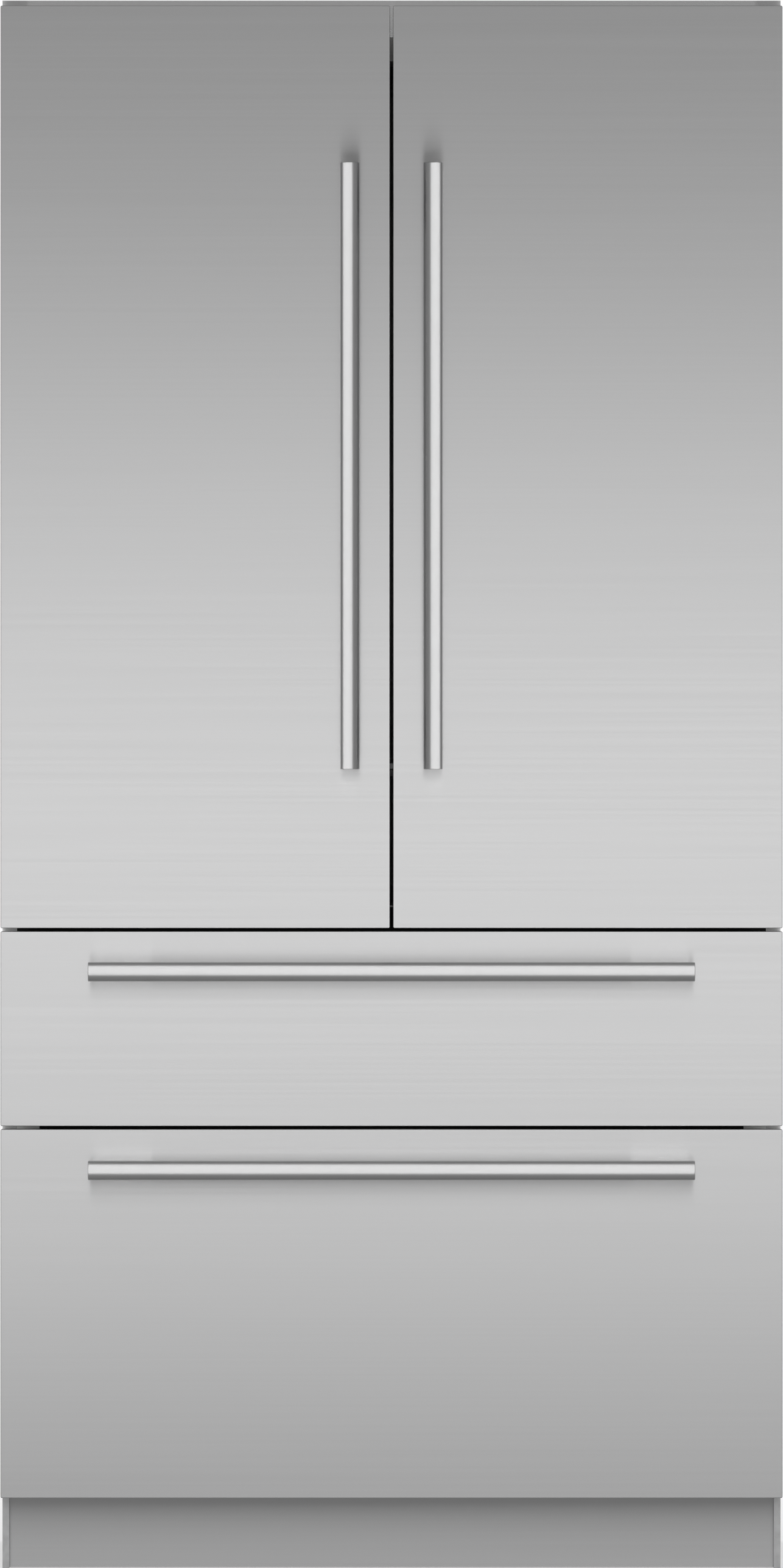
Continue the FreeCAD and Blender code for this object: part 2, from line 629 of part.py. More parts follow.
def make_base():
    """Base with side plates and deck, recessed toe kick, front legs and rear rollers."""
    deck = (d.base_height - d.deck_thickness, d.base_height)
    leg_y = y_face + d.leg_setback
    leg_x = half_width - d.leg_inset
    roller_x = half_width - d.roller_inset
    axle_y = y_back - d.roller_setback
    plate = block("Deck", (-half_width, half_width), (y_face, y_back), deck)
    pieces = [plate]
    for name, side in SIDES:
        pieces.append(block("Skirt" + name, span(side, half_width - d.skirt_width, half_width),
                            (y_face, y_back), (d.floor_gap, deck[0])))
        inner_cheek = d.roller_width / 2 + d.cheek_gap
        for cheek in (LEFT, RIGHT):
            x = span(cheek, inner_cheek, inner_cheek + d.cheek_thickness)
            pieces.append(block(f"Cheek{name}{cheek + 1}", (side * roller_x + x[0], side * roller_x + x[1]),
                                about(axle_y, d.cheek_half * 2),
                                (d.roller_radius - d.cheek_half, deck[0])))
        reach = inner_cheek + d.cheek_thickness
        pieces.append(rod("Axle" + name, "x", (side * roller_x - reach, axle_y, d.roller_radius),
                          d.axle_radius, reach * 2))
    hole_radius = d.leg_stem_radius + d.running_clearance
    holes = [rod("LegHole" + name, "z", (side * leg_x, leg_y, deck[0] - OVER), hole_radius,
                 d.deck_thickness + OVER * 2) for name, side in SIDES]
    keep(cut("BaseFrame", fuse("BaseSolid", *pieces), *holes), "base_frame")

    legs = [make_leg("Leg" + name, side * leg_x, leg_y, deck) for name, side in SIDES]
    keep(group("FrontLegs", legs), "front_legs")
    wheels = [make_roller("Roller" + name, side * roller_x, axle_y) for name, side in SIDES]
    keep(group("RearRollers", wheels), "rear_rollers")

    body = new_body("ToeKick")
    profile = sketch_on(body, "YZ_Plane")
    front = y_face + d.toe_recess
    back = front + d.toe_flange
    low, high = d.floor_gap, deck[0]
    outline(profile, [(front, low), (back, low), (back, low + d.toe_sheet),
                      (front + d.toe_sheet, low + d.toe_sheet), (front + d.toe_sheet, high - d.toe_sheet),
                      (back, high - d.toe_sheet), (back, high), (front, high)])
    feature(body, "Pad", profile, d.case_width - d.skirt_width * 2 - d.toe_end_gap * 2, midplane=True)
    keep(body, "toe_kick")


def make_leg(name, x, y, deck):
    """A levelling leg: pad, stem and the nut that carries the deck."""
    body = new_body(name)
    half = sketch_on(body, "XZ_Plane")
    nut = deck[0] - d.leg_nut_height
    stem_top = deck[1] - OVER
    outline(half, [(0, 0), (d.leg_pad_radius, 0), (d.leg_pad_radius, d.leg_pad_height),
                   (d.leg_stem_radius, d.leg_cone_height), (d.leg_stem_radius, nut), (d.leg_nut_radius, nut),
                   (d.leg_nut_radius, deck[0]), (d.leg_stem_radius, deck[0]),
                   (d.leg_stem_radius, stem_top), (0, stem_top)])
    revolve(body, half, "Z_Axis")
    place(body, x, y, 0)
    return body


def make_roller(name, x, y):
    """A rear roller with bevelled edges on a plain bore."""
    body = new_body(name)
    half = sketch_on(body, "XY_Plane")
    bore = d.axle_radius + d.running_clearance
    edge = d.roller_width / 2
    shoulder = d.roller_radius - d.roller_bevel
    crown = edge - d.roller_bevel
    outline(half, [(-edge, bore), (edge, bore), (edge, shoulder), (crown, d.roller_radius),
                   (-crown, d.roller_radius), (-edge, shoulder)])
    revolve(body, half, "X_Axis")
    place(body, x, y, d.roller_radius)
    return body


def make_fan(name, radius):
    """A fan about its own Z axis, with slanted blades on a hub."""
    body = new_body(name)
    hub_radius = radius * d.fan_hub_share
    hub = sketch_on(body, "XY_Plane")
    circle(hub, 0, 0, hub_radius)
    feature(body, "Pad", hub, d.fan_depth)
    blade = sketch_on(body, "XZ_Plane")
    lean = hub_radius * d.fan_lean_share
    low, high = d.fan_blade_setback, d.fan_depth - d.fan_blade_setback
    outline(blade, [(-lean, low), (d.fan_blade - lean, low), (lean, high), (lean - d.fan_blade, high)])
    vane = feature(body, "Pad", blade, radius - d.fan_blade)
    ring = body.newObject("PartDesign::PolarPattern", name + "Blades")
    ring.Originals = [vane]
    ring.Axis = (datum(body, "Z_Axis"), [""])
    ring.Angle = 360
    bind(ring, "Occurrences", d.fan_blades)
    body.Tip = ring
    bore = sketch_on(body, "XY_Plane", d.fan_depth)
    circle(bore, 0, 0, d.fan_shaft_radius + d.running_clearance)
    feature(body, "Pocket", bore, d.fan_depth * 2, midplane=True)
    return body


def fin_block(name, x, y, z, tubes):
    """Thin upright fins on a stack of tubes between two headers, as in a condenser or an evaporator."""
    count = round(d.fin_count.value)
    pitch = (x[1] - x[0] - d.fin_thickness) / (d.fin_count - 1)
    pieces = []
    for number in range(count):
        start = x[0] + pitch * number
        pieces.append(block(f"{name}Fin{number}", (start, start + d.fin_thickness), y, z))
    middle = (y[0] + y[1]) / 2
    gap = (z[1] - z[0]) / tubes
    ends = (x[0] - d.header_gap, x[1] + d.header_gap)
    for number in range(round(tubes.value)):
        start = (ends[0], middle, z[0] + gap / 2 + gap * number)
        pieces.append(rod(f"{name}Tube{number}", "x", start, d.tube_radius, ends[1] - ends[0]))
    pieces += [rod(f"{name}Header{number}", "z", (end, middle, z[0]), d.header_radius, z[1] - z[0])
               for number, end in enumerate(ends)]
    return fuse(name, *pieces)


def make_machine_space():
    """Compressor, condenser, its fan and the vented rear cover with the mains inlet."""
    floor = d.base_height
    middle_y = y_back - d.machine_depth / 2
    body = new_body("CompressorShell")
    half = sketch_on(body, "XZ_Plane")
    low = d.compressor_foot + d.compressor_plate
    outline(half, [(0, low), (d.compressor_radius - d.compressor_dome, low),
                   (d.compressor_radius, low + d.compressor_dome),
                   (d.compressor_radius, d.compressor_height - d.compressor_dome),
                   (d.compressor_radius - d.compressor_dome, d.compressor_height), (0, d.compressor_height)])
    shell = revolve(body, half, "Z_Axis")
    round_edges(body, shell, d.compressor_dome / 3,
                lambda edge: near(edge.CenterOfMass.z, low + d.compressor_dome)
                or near(edge.CenterOfMass.z, d.compressor_height - d.compressor_dome))
    place(body, d.compressor_x, middle_y, floor)
    plate = block("CompressorPlate", about(d.compressor_x, d.compressor_radius * 2),
                  about(middle_y, d.compressor_plate_depth), (floor + d.compressor_foot, floor + low))
    pieces = [body, plate]
    for across in (LEFT, RIGHT):
        for along in (LEFT, RIGHT):
            start = (d.compressor_x + d.compressor_foot_x / 2 * across,
                     middle_y + d.compressor_foot_y / 2 * along, floor)
            name = f"CompressorFoot{across + 1}{along + 1}"
            pieces.append(rod(name, "z", start, d.compressor_foot / 2, low))
    keep(fuse("Compressor", *pieces), "compressor")

    coil_x = (d.coil_inset - half_width, d.coil_inset - half_width + d.coil_length)
    coil_y = (y_machine + d.coil_gap, y_back - d.coil_gap)
    keep(fin_block("CondenserCoil", coil_x, coil_y, (floor, z_machine - d.coil_gap), d.condenser_tubes),
         "condenser_coil")

    fan_z = floor + d.machine_height / 2
    x = (-d.shroud_x, d.shroud_sheet - d.shroud_x)
    plate = block("ShroudPlate", x, (y_machine + d.fan_gap, y_back - d.coil_gap),
                  (floor, z_machine - d.fan_gap))
    opening = rod("ShroudOpening", "x", (x[0] - OVER, middle_y, fan_z), d.fan_radius + d.fan_gap,
                  d.shroud_sheet + OVER * 2)
    motor_x = x[1] + d.fan_depth
    motor = rod("ShroudMotor", "x", (motor_x, middle_y, fan_z), d.fan_motor_radius, d.fan_motor_length)
    shaft = rod("ShroudShaft", "x", (motor_x - d.fan_motor_gap - d.fan_depth, middle_y, fan_z),
                d.fan_shaft_radius, d.fan_depth + d.fan_motor_gap * 2)
    arm_x = (motor_x + d.fan_motor_gap, motor_x + d.fan_motor_gap + d.shroud_arm_width)
    arm_y = (y_machine + d.fan_gap, y_back - d.coil_gap)
    arm = block("ShroudArm", arm_x, arm_y, about(fan_z, d.shroud_arm_width))
    ties = [block(f"ShroudTie{number}", (x[0], arm_x[1]), tie, about(fan_z, d.shroud_arm_width))
            for number, tie in enumerate(((arm_y[0], arm_y[0] + d.shroud_arm_width),
                                          (arm_y[1] - d.shroud_arm_width, arm_y[1])))]
    keep(fuse("CondenserFanShroud", cut("ShroudRing", plate, opening), motor, shaft, arm, *ties),
         "condenser_fan_shroud")
    fan = make_fan("CondenserFan", d.fan_radius)
    fan.Placement = FreeCAD.Placement(Vector(), Rotation(Vector(0, 1, 0), 90))
    place(fan, motor_x - d.fan_motor_gap - d.fan_depth, middle_y, fan_z)
    keep(fan, "condenser_fan")
    make_cover()


def make_cover():
    """Vented cover over the machine space, and the mains inlet that it frames."""
    inner = half_width - d.sheet_thickness - d.cover_gap
    low, high = d.base_height, z_machine - d.cover_gap
    y_cover = y_back - d.cover_setback
    inlet_x = about(inlet_middle, d.inlet_width)
    inlet_z = about(d.base_height + d.inlet_lift, d.inlet_height)
    body = new_body("MachineCover")
    plate = sketch_on(body, "XZ_Plane", -y_cover)
    rectangle(plate, (-inner, inner), (low, high))
    feature(body, "Pad", plate, d.cover_sheet_thickness)
    vents = sketch_on(body, "XZ_Plane", -y_cover)
    first_x = -d.vent_pitch_x * (d.vent_columns - 1) / 2
    middle_z = d.base_height + d.machine_height / 2
    first_z = middle_z - d.vent_pitch_z * (d.vent_rows - 1) / 2
    rectangle(vents, about(first_x, d.vent_width), about(first_z, d.vent_height))
    vent = feature(body, "Pocket", vents, d.cover_sheet_thickness * SHEETS, midplane=True)
    steps = body.newObject("PartDesign::MultiTransform", "MachineCoverVents")
    steps.Originals = [vent]
    across = body.newObject("PartDesign::LinearPattern", "MachineCoverAcross")
    across.Direction = (datum(body, "X_Axis"), [""])
    bind(across, "Length", d.vent_pitch_x * (d.vent_columns - 1))
    bind(across, "Occurrences", d.vent_columns)
    upward = body.newObject("PartDesign::LinearPattern", "MachineCoverUpward")
    upward.Direction = (datum(body, "Z_Axis"), [""])
    bind(upward, "Length", d.vent_pitch_z * (d.vent_rows - 1))
    bind(upward, "Occurrences", d.vent_rows)
    steps.Transformations = [across, upward]
    body.Tip = steps
    window = sketch_on(body, "XZ_Plane", -y_cover)
    rectangle(window, inlet_x, inlet_z)
    feature(body, "Pocket", window, d.cover_sheet_thickness * SHEETS, midplane=True)
    keep(body, "machine_cover")

    inlet_y = (y_back - d.inlet_depth, y_back)
    shell = block("InletBlock", inlet_x, inlet_y, inlet_z)
    middle_z = d.base_height + d.inlet_lift
    well = block("InletWell", about(inlet_middle, d.inlet_well_width),
                 (y_back - d.inlet_well_depth, y_back + OVER), about(middle_z, d.inlet_well_height))
    contacts = []
    for number in (-1, 0, 1):
        x = about(inlet_middle + d.inlet_blade_pitch * number, d.inlet_blade_width)
        contacts.append(block(f"InletContact{number + 1}", x, (inlet_y[0], y_back - d.inlet_blade_setback),
                              about(middle_z, d.inlet_blade_height)))
    keep(fuse("PowerInlet", cut("InletShell", shell, well), *contacts), "power_inlet")


def duct_panel(name, x, y, z):
    """A moulded panel that stands off the back wall on its rim, so air can pass behind it."""
    body = new_body(name)
    sheet_plan = sketch_on(body, "XZ_Plane", -y[0])
    rectangle(sheet_plan, x, z)
    feature(body, "Pad", sheet_plan, y[1] - y[0], back=True)
    hollow = sketch_on(body, "XZ_Plane", -y[1])
    rectangle(hollow, (x[0] + d.duct_sheet, x[1] - d.duct_sheet), (z[0] + d.duct_sheet, z[1] - d.duct_sheet))
    feature(body, "Pocket", hollow, y[1] - y[0] - d.duct_sheet, back=True)
    return body


def make_ducts():
    """Air duct panels, the evaporator and the fan behind the freezer panel."""
    half = cavity_half - d.liner_round - d.duct_side_gap
    z = (z_fridge_inside[0] + d.duct_end_gap, z_fridge_inside[1] - d.duct_end_gap)
    body = duct_panel("FridgeDuct", (-half, half), (y_duct, y_cavity), z)
    slots = sketch_on(body, "XZ_Plane", -y_duct)
    slot_z = about(z[0] + d.slot_pitch, d.slot_height)
    for side in (LEFT, RIGHT):
        middle = side * (d.track_inner + track_half) / 2
        rectangle(slots, about(middle, d.slot_width), slot_z)
    row = feature(body, "Pocket", slots, d.duct_sheet * SHEETS, midplane=True)
    rows = body.newObject("PartDesign::LinearPattern", "FridgeDuctSlots")
    rows.Originals = [row]
    rows.Direction = (datum(body, "Z_Axis"), [""])
    bind(rows, "Occurrences", d.slot_rows)
    bind(rows, "Length", d.slot_pitch * (d.slot_rows - 1))
    body.Tip = rows
    keep(body, "fridge_duct_panel")

    z = (z_hump + d.liner_thickness + d.duct_end_gap, z_freezer_inside[1] - d.duct_end_gap)
    y = (y_freezer_duct, y_cavity)
    fan_z = z[1] - d.freezer_fan_radius * 2
    panel = duct_panel("FreezerDuct", (-half, half), y, z)
    opening = sketch_on(panel, "XZ_Plane", -y[0])
    circle(opening, 0, fan_z, d.freezer_fan_radius + d.fan_gap)
    for side in (LEFT, RIGHT):
        rectangle(opening, about(side * half / 2, d.slot_width * 2),
                  about(z[0] + d.duct_end_gap, d.slot_height))
    feature(panel, "Pocket", opening, d.duct_sheet * SHEETS, midplane=True)
    motor_y = y[0] + d.duct_sheet + d.fan_depth + d.fan_motor_gap
    motor = rod("FreezerFanMotor", "y", (0, motor_y, fan_z), d.fan_motor_radius, d.fan_motor_length)
    fan_y = motor_y - d.fan_motor_gap - d.fan_depth
    shaft = rod("FreezerFanShaft", "y", (0, fan_y, fan_z), d.fan_shaft_radius,
                d.fan_depth + d.fan_motor_gap * 2)
    arm_half = d.freezer_fan_radius + d.fan_gap + d.shroud_arm_width
    arm_y = (motor_y + d.fan_motor_gap, motor_y + d.fan_motor_gap + d.shroud_arm_width)
    arm = block("FreezerFanArm", (-arm_half, arm_half), arm_y, about(fan_z, d.shroud_arm_width))
    ties = [block("FreezerFanTie" + name, span(side, arm_half - d.shroud_arm_width, arm_half),
                  (y[0], arm_y[1]), about(fan_z, d.shroud_arm_width)) for name, side in SIDES]
    keep(fuse("FreezerDuctPanel", panel, motor, shaft, arm, *ties), "freezer_duct_panel")
    fan = make_fan("FreezerFan", d.freezer_fan_radius)
    fan.Placement = FreeCAD.Placement(Vector(), Rotation(Vector(1, 0, 0), -90))
    place(fan, 0, fan_y, fan_z)
    keep(fan, "freezer_fan")

    low = z[0] + d.duct_end_gap * 2
    wide = d.evaporator_width / 2
    keep(fin_block("FreezerEvaporator", (-wide, wide), (y[0] + d.duct_sheet + d.evaporator_gap, y_cavity),
                   (low, low + d.evaporator_height), d.evaporator_tubes), "freezer_evaporator")


def make_shelves():
    """Shelf tracks on the duct panel, arms that hook into them and the glass on the arms."""
    floor = z_fridge_inside[0]
    cover = floor + d.crisper_lift + d.crisper_height + d.runner_thickness + d.shelf_glass
    track_z = (floor + d.track_above_floor, z_fridge_inside[1] - d.duct_end_gap * 2)
    tracks, arms, panes = [], [], []
    for name, side in SIDES:
        for number, middle in enumerate((d.track_inner, track_half)):
            tracks.append(make_track(f"Track{name}{number}", side * middle, track_z))
        for level, height in enumerate((d.shelf_low_height, d.shelf_high_height)):
            top = cover + height
            for number, middle in enumerate((d.track_inner, track_half)):
                arms.append(make_arm(f"Arm{name}{level}{number}", side * middle, top - d.shelf_glass))
            edge = d.arm_thickness / 2 + d.shelf_overhang
            pane = block(f"Pane{name}{level}", span(side, d.track_inner - edge, track_half + edge),
                         (y_shelf, y_duct - d.track_depth), (top - d.shelf_glass, top))
            panes.append(rounded(pane.Name + "Round", pane, is_front_corner, d.shelf_round))
    pane = block("CrisperPane", (-cavity_half, cavity_half), (y_shelf, y_duct),
                 (cover - d.shelf_glass, cover))
    panes.append(rounded("CrisperPaneRound", pane, is_front_corner, d.shelf_round))
    keep(group("ShelfTracks", tracks), "shelf_tracks")
    keep(group("ShelfArms", arms), "shelf_arms")
    keep(group("GlassShelves", panes), "glass_shelves")


def is_front_corner(edge):
    """Whether an edge of a shelf is one of its two upright front corners."""
    return is_upright(edge) and near(edge.CenterOfMass.y, y_shelf)


def make_track(name, x, z):
    """A slotted upright."""
    body = new_body(name)
    plan = sketch_on(body, "XZ_Plane", -y_duct)
    rectangle(plan, about(x, d.track_width), z)
    feature(body, "Pad", plan, d.track_depth)
    slot = sketch_on(body, "XZ_Plane", d.track_depth - y_duct)
    rectangle(slot, about(x, d.track_slot_width), (z[0] + d.track_slot, z[0] + d.track_slot * 2))
    pocket = feature(body, "Pocket", slot, d.track_depth / 2)
    row = body.newObject("PartDesign::LinearPattern", name + "Slots")
    row.Originals = [pocket]
    row.Direction = (datum(body, "Z_Axis"), [""])
    count = int((z[1].value - z[0].value - 2 * d.track_slot.value) / d.track_pitch.value)
    row.Occurrences = count + 1
    bind(row, "Length", d.track_pitch * count)
    body.Tip = row
    return body


def make_arm(name, x, top):
    """A tapered arm that reaches forward from its track."""
    body = new_body(name)
    profile = sketch_on(body, "YZ_Plane", x)
    back, tip = y_duct - d.track_depth, y_shelf + d.arm_setback
    outline(profile, [(tip, top - d.arm_tip), (back, top - d.arm_height), (back, top), (tip, top)])
    feature(body, "Pad", profile, d.arm_thickness, midplane=True)
    return body


def make_tub(name, x, profile, hollow, wall):
    """An open tub: a side profile across the width, hollowed by a smaller profile."""
    body = new_body(name)
    middle = (x[0] + x[1]) / 2
    outside = sketch_on(body, "YZ_Plane", middle)
    outline(outside, profile)
    pad = feature(body, "Pad", outside, x[1] - x[0], midplane=True)
    round_edges(body, pad, d.tub_round, is_upright)
    inside = sketch_on(body, "YZ_Plane", middle)
    outline(inside, hollow)
    feature(body, "Pocket", inside, x[1] - x[0] - wall * 2, midplane=True)
    return body


def make_crispers():
    """Two crispers that hang by their rims in a frame below the lowest glass."""
    floor = z_fridge_inside[0]
    top = floor + d.crisper_lift + d.crisper_height
    frame_top = top + d.runner_thickness
    rim = (top - d.crisper_play - d.crisper_wall, top - d.crisper_play)
    ledge = (rim[0] - d.crisper_play - d.runner_thickness, rim[0] - d.crisper_play)
    y = (y_shelf, y_duct)
    bars = [block("FrameFront", (-cavity_half, cavity_half), (y[0], y[0] + d.frame_bar), (top, frame_top)),
            block("FrameRear", (-cavity_half, cavity_half), (y[1] - d.frame_bar, y[1]), (top, frame_top)),
            block("FrameWeb", about(as_length(0), d.runner_centre), y, (ledge[0], frame_top)),
            block("FrameLedge", about(as_length(0), d.runner_width * 2), y, ledge)]
    for name, side in SIDES:
        bars.append(block("FrameWeb" + name, span(side, cavity_half - d.runner_thickness, cavity_half), y,
                          (ledge[0], frame_top)))
        bars.append(block("FrameLedge" + name, span(side, cavity_half - d.runner_width, cavity_half), y,
                          ledge))
    keep(fuse("CrisperFrame", *bars), "crisper_frame")

    low = floor + d.crisper_lift
    back = y_duct - d.crisper_rear_gap
    wall = d.crisper_wall
    profile = [(y_shelf + d.crisper_slope, low), (back, low), (back, rim[1]), (y_shelf, rim[1])]
    hollow = [(y_shelf + d.crisper_slope + wall, low + wall), (back - wall, low + wall),
              (back - wall, rim[1] + OVER), (y_shelf + wall, rim[1] + OVER)]
    for name, side in SIDES:
        x = span(side, d.runner_width + d.crisper_play, cavity_half - d.runner_width - d.crisper_play)
        tub = make_tub("CrisperTub" + name, x, profile, hollow, wall)
        rim_x = span(side, d.runner_centre / 2 + d.crisper_play,
                     cavity_half - d.runner_thickness - d.crisper_play)
        rim_y = (y_shelf + d.crisper_slope, back - d.tub_round)
        rims = [block(f"CrisperRim{name}{number}", edge, rim_y, rim)
                for number, edge in enumerate(((rim_x[0], x[0] + wall), (x[1] - wall, rim_x[1])))]
        keep(fuse("Crisper" + name, tub, *rims), "crisper_" + name)


def make_lights():
    """Light columns on the side walls and the control panel below the ceiling."""
    z = (z_fridge_inside[1] - d.light_end_gap - d.light_length, z_fridge_inside[1] - d.light_end_gap)
    y = (y_face + d.light_setback, y_face + d.light_setback + d.light_width)
    columns = []
    for name, side in SIDES:
        inner = cavity_half - d.light_thickness
        bar = block("Light" + name, span(side, inner, cavity_half), y, z)
        columns.append(rounded("LightRound" + name, bar,
                               lambda edge, inner=inner: near(abs(edge.CenterOfMass.x), inner),
                               d.light_round))
    keep(group("LightColumns", columns), "light_columns")

    body = new_body("ControlPanel")
    ceiling = z_fridge_inside[1]
    plan = sketch_on(body, "XY_Plane", ceiling)
    rectangle(plan, about(as_length(0), d.panel_width), (y_shelf, y_shelf + d.panel_depth))
    pad = feature(body, "Pad", plan, d.panel_height, back=True)
    round_edges(body, pad, d.panel_round, lambda edge: near(edge.CenterOfMass.z, ceiling - d.panel_height))
    buttons = sketch_on(body, "XY_Plane", ceiling - d.panel_height)
    for step in (-2, -1, 1, 2):
        circle(buttons, d.button_pitch * step, y_shelf + d.panel_depth / 2, d.button_radius)
    feature(body, "Pad", buttons, d.button_height, back=True)
    keep(body, "control_panel")


def make_handle(label, x, z, level):
    """A round bar on two long brackets, welded to one piece; the bar lies level or stands upright."""
    body = new_body("Handle_" + label)
    end = sketch_on(body, "XY_Plane", -d.handle_length / 2)
    circle(end, 0, 0, handle_radius)
    bar = feature(body, "Pad", end, d.handle_length)
    round_edges(body, bar, d.handle_edge_round, lambda edge: len(edge.Vertexes) == 1)
    feet = sketch_on(body, "XZ_Plane")
    far = d.handle_length / 2 - d.bracket_setback
    for side in (LEFT, RIGHT):
        rectangle(feet, about(as_length(0), d.bracket_width), span(side, far - d.bracket_length, far))
    feature(body, "Pad", feet, d.handle_standoff, back=True)
    if level:
        body.Placement = FreeCAD.Placement(Vector(), Rotation(Vector(0, 1, 0), 90))
    place(body, x, y_bar, z)
    keep(body, label)


def make_skin(label, x, z, notches=()):
    """A folded steel front with short returns on all four sides, open at the back."""
    body = new_body("Skin_" + label)
    plan = sketch_on(body, "XZ_Plane", -y_front)
    rectangle(plan, x, z)
    pad = feature(body, "Pad", plan, d.skin_return, back=True)
    corners = round_edges(body, pad, d.skin_corner, runs_back)
    round_edges(body, corners, d.skin_round, lambda edge: near(edge.CenterOfMass.y, y_front))
    hollow = sketch_on(body, "XZ_Plane", -y_front - d.skin_return)
    inset = d.skin_thickness
    rectangle(hollow, (x[0] + inset, x[1] - inset), (z[0] + inset, z[1] - inset))
    feature(body, "Pocket", hollow, d.skin_return - inset, back=True)
    for notch_x, notch_z in notches:
        corner = sketch_on(body, "XZ_Plane", -y_front - d.hinge_notch_setback)
        rectangle(corner, notch_x, notch_z)
        feature(body, "Pocket", corner, d.skin_return)
    keep(body, label)


def make_gasket(label, x, z):
    """A soft ring around the back of a front."""
    body = new_body("Gasket_" + label)
    ring = sketch_on(body, "XZ_Plane", -y_seal)
    rectangle(ring, x, z)
    width = d.gasket_width
    rectangle(ring, (x[0] + width, x[1] - width), (z[0] + width, z[1] - width))
    feature(body, "Pad", ring, d.seal_gap - d.gasket_clearance, back=True)
    keep(body, label)


def hinge_places(side):
    """Axis of a door hinge in plan, and the notches for its plates at the top and bottom of the door."""
    axis = (side * (half_width - d.hinge_inset), y_seal - d.front_thickness / 2)
    x = span(side, half_width - d.hinge_notch_width, half_width + OVER)
    low = (z_door[0] + d.skin_thickness, z_door[0] + d.hinge_notch)
    high = (z_door[1] - d.hinge_notch, z_door[1] - d.skin_thickness)
    return axis, x, low, high


def make_door(name, side):
    """A door: steel skin, insulated inner panel with a moulded rim on it, gasket, handle and bins."""
    x = span(side, d.reveal / 2, half_width)
    axis, notch_x, low, high = hinge_places(side)
    make_skin(name + "_door_skin", x, z_door, ((notch_x, low), (notch_x, high)))

    inset = d.skin_thickness
    core = block("DoorCore" + name, (x[0] + inset, x[1] - inset), (y_front + inset, y_seal),
                 (z_door[0] + inset, z_door[1] - inset))
    rim_x = span(side, d.dyke_centre_inset, half_width - d.dyke_side_inset)
    rim_z = (z_fridge_inside[0] + d.dyke_end_gap, z_fridge_inside[1] - d.dyke_end_gap)
    rim_y = (y_seal, y_face + d.dyke_depth)
    width = d.dyke_width
    bin_x = (rim_x[0] + width, rim_x[1] - width)
    rim = cut("DoorRim" + name, block("DoorRimOuter" + name, rim_x, rim_y, rim_z),
              block("DoorRimInner" + name, bin_x, (rim_y[0] - OVER, rim_y[1] + OVER),
                    (rim_z[0] + width, rim_z[1] - width)))
    if side == LEFT:
        ears, ear_holes = make_flap((rim_z[0] + d.flap_end_gap, rim_z[1] - d.flap_end_gap))
        rim = cut("DoorRimEars" + name, fuse("DoorRimSolid" + name, rim, *ears), *ear_holes)
    notch_y = (y_front + d.hinge_notch_setback, y_seal + OVER)
    hole_radius = d.hinge_pin_radius + d.running_clearance
    hole_length = d.hinge_pin_length + OVER * 2
    panel = cut("DoorPanel" + name, core,
                block("DoorNotchLow" + name, notch_x, notch_y, (low[0] - OVER, low[1])),
                block("DoorNotchHigh" + name, notch_x, notch_y, (high[0], high[1] + OVER)),
                rod("DoorPinHoleLow" + name, "z", (*axis, low[1] - OVER), hole_radius, hole_length),
                rod("DoorPinHoleHigh" + name, "z", (*axis, high[0] + OVER - hole_length), hole_radius,
                    hole_length))
    keep(group("DoorLiner" + name, [panel, rim]), name + "_door_liner")

    gasket_x = span(side, d.reveal / 2 + d.gasket_edge_inset, half_width - d.gasket_side_inset)
    make_gasket(name + "_door_gasket", gasket_x,
                (z_door[0] + d.gasket_edge_inset, z_door[1] - d.gasket_top_inset))
    make_handle(name + "_door_handle", side * (d.reveal / 2 + d.handle_inset), (z_door[0] + z_door[1]) / 2,
                level=False)
    first_bin = z_fridge_inside[0] + d.bin_first_height
    bins = [make_bin(f"Bin{name}{number}", bin_x, first_bin + d.bin_pitch * number)
            for number in range(round(d.bin_count.value))]
    keep(group("DoorBins" + name, bins), name + "_door_bins")


def make_flap(z):
    """The flap that closes the gap behind the doors, folded back, and the ears and holes for its pins."""
    axis = (-d.flap_axis_x, y_face + d.flap_axis_y)
    body = new_body("MullionFlap")
    plan = sketch_on(body, "XY_Plane", z[0])
    rectangle(plan, (axis[0] - d.flap_back, axis[0] + d.flap_thickness - d.flap_back),
              (axis[1] - d.flap_heel, axis[1] + d.flap_width - d.flap_heel))
    bar = feature(body, "Pad", plan, z[1] - z[0])
    round_edges(body, bar, d.flap_round, is_upright)
    pins = sketch_on(body, "XY_Plane", (z[0] + z[1]) / 2)
    circle(pins, axis[0], axis[1], d.flap_pin_radius)
    pin_reach = d.flap_ear_gap + d.flap_ear
    feature(body, "Pad", pins, z[1] - z[0] + pin_reach * 2, midplane=True)
    keep(body, "mullion_flap")

    ears, holes = [], []
    ear_x = (-d.dyke_centre_inset - d.dyke_width / 2, axis[0] + d.flap_ear_half)
    low_ear = (z[0] - pin_reach, z[0] - d.flap_ear_gap)
    high_ear = (z[1] + d.flap_ear_gap, z[1] + pin_reach)
    for name, ear_z in (("Low", low_ear), ("High", high_ear)):
        ears.append(block("FlapEar" + name, ear_x, about(axis[1], d.flap_ear_half * 2), ear_z))
        holes.append(rod("FlapHole" + name, "z", (*axis, ear_z[0] - OVER),
                         d.flap_pin_radius + d.running_clearance, d.flap_ear + OVER * 2))
    return ears, holes


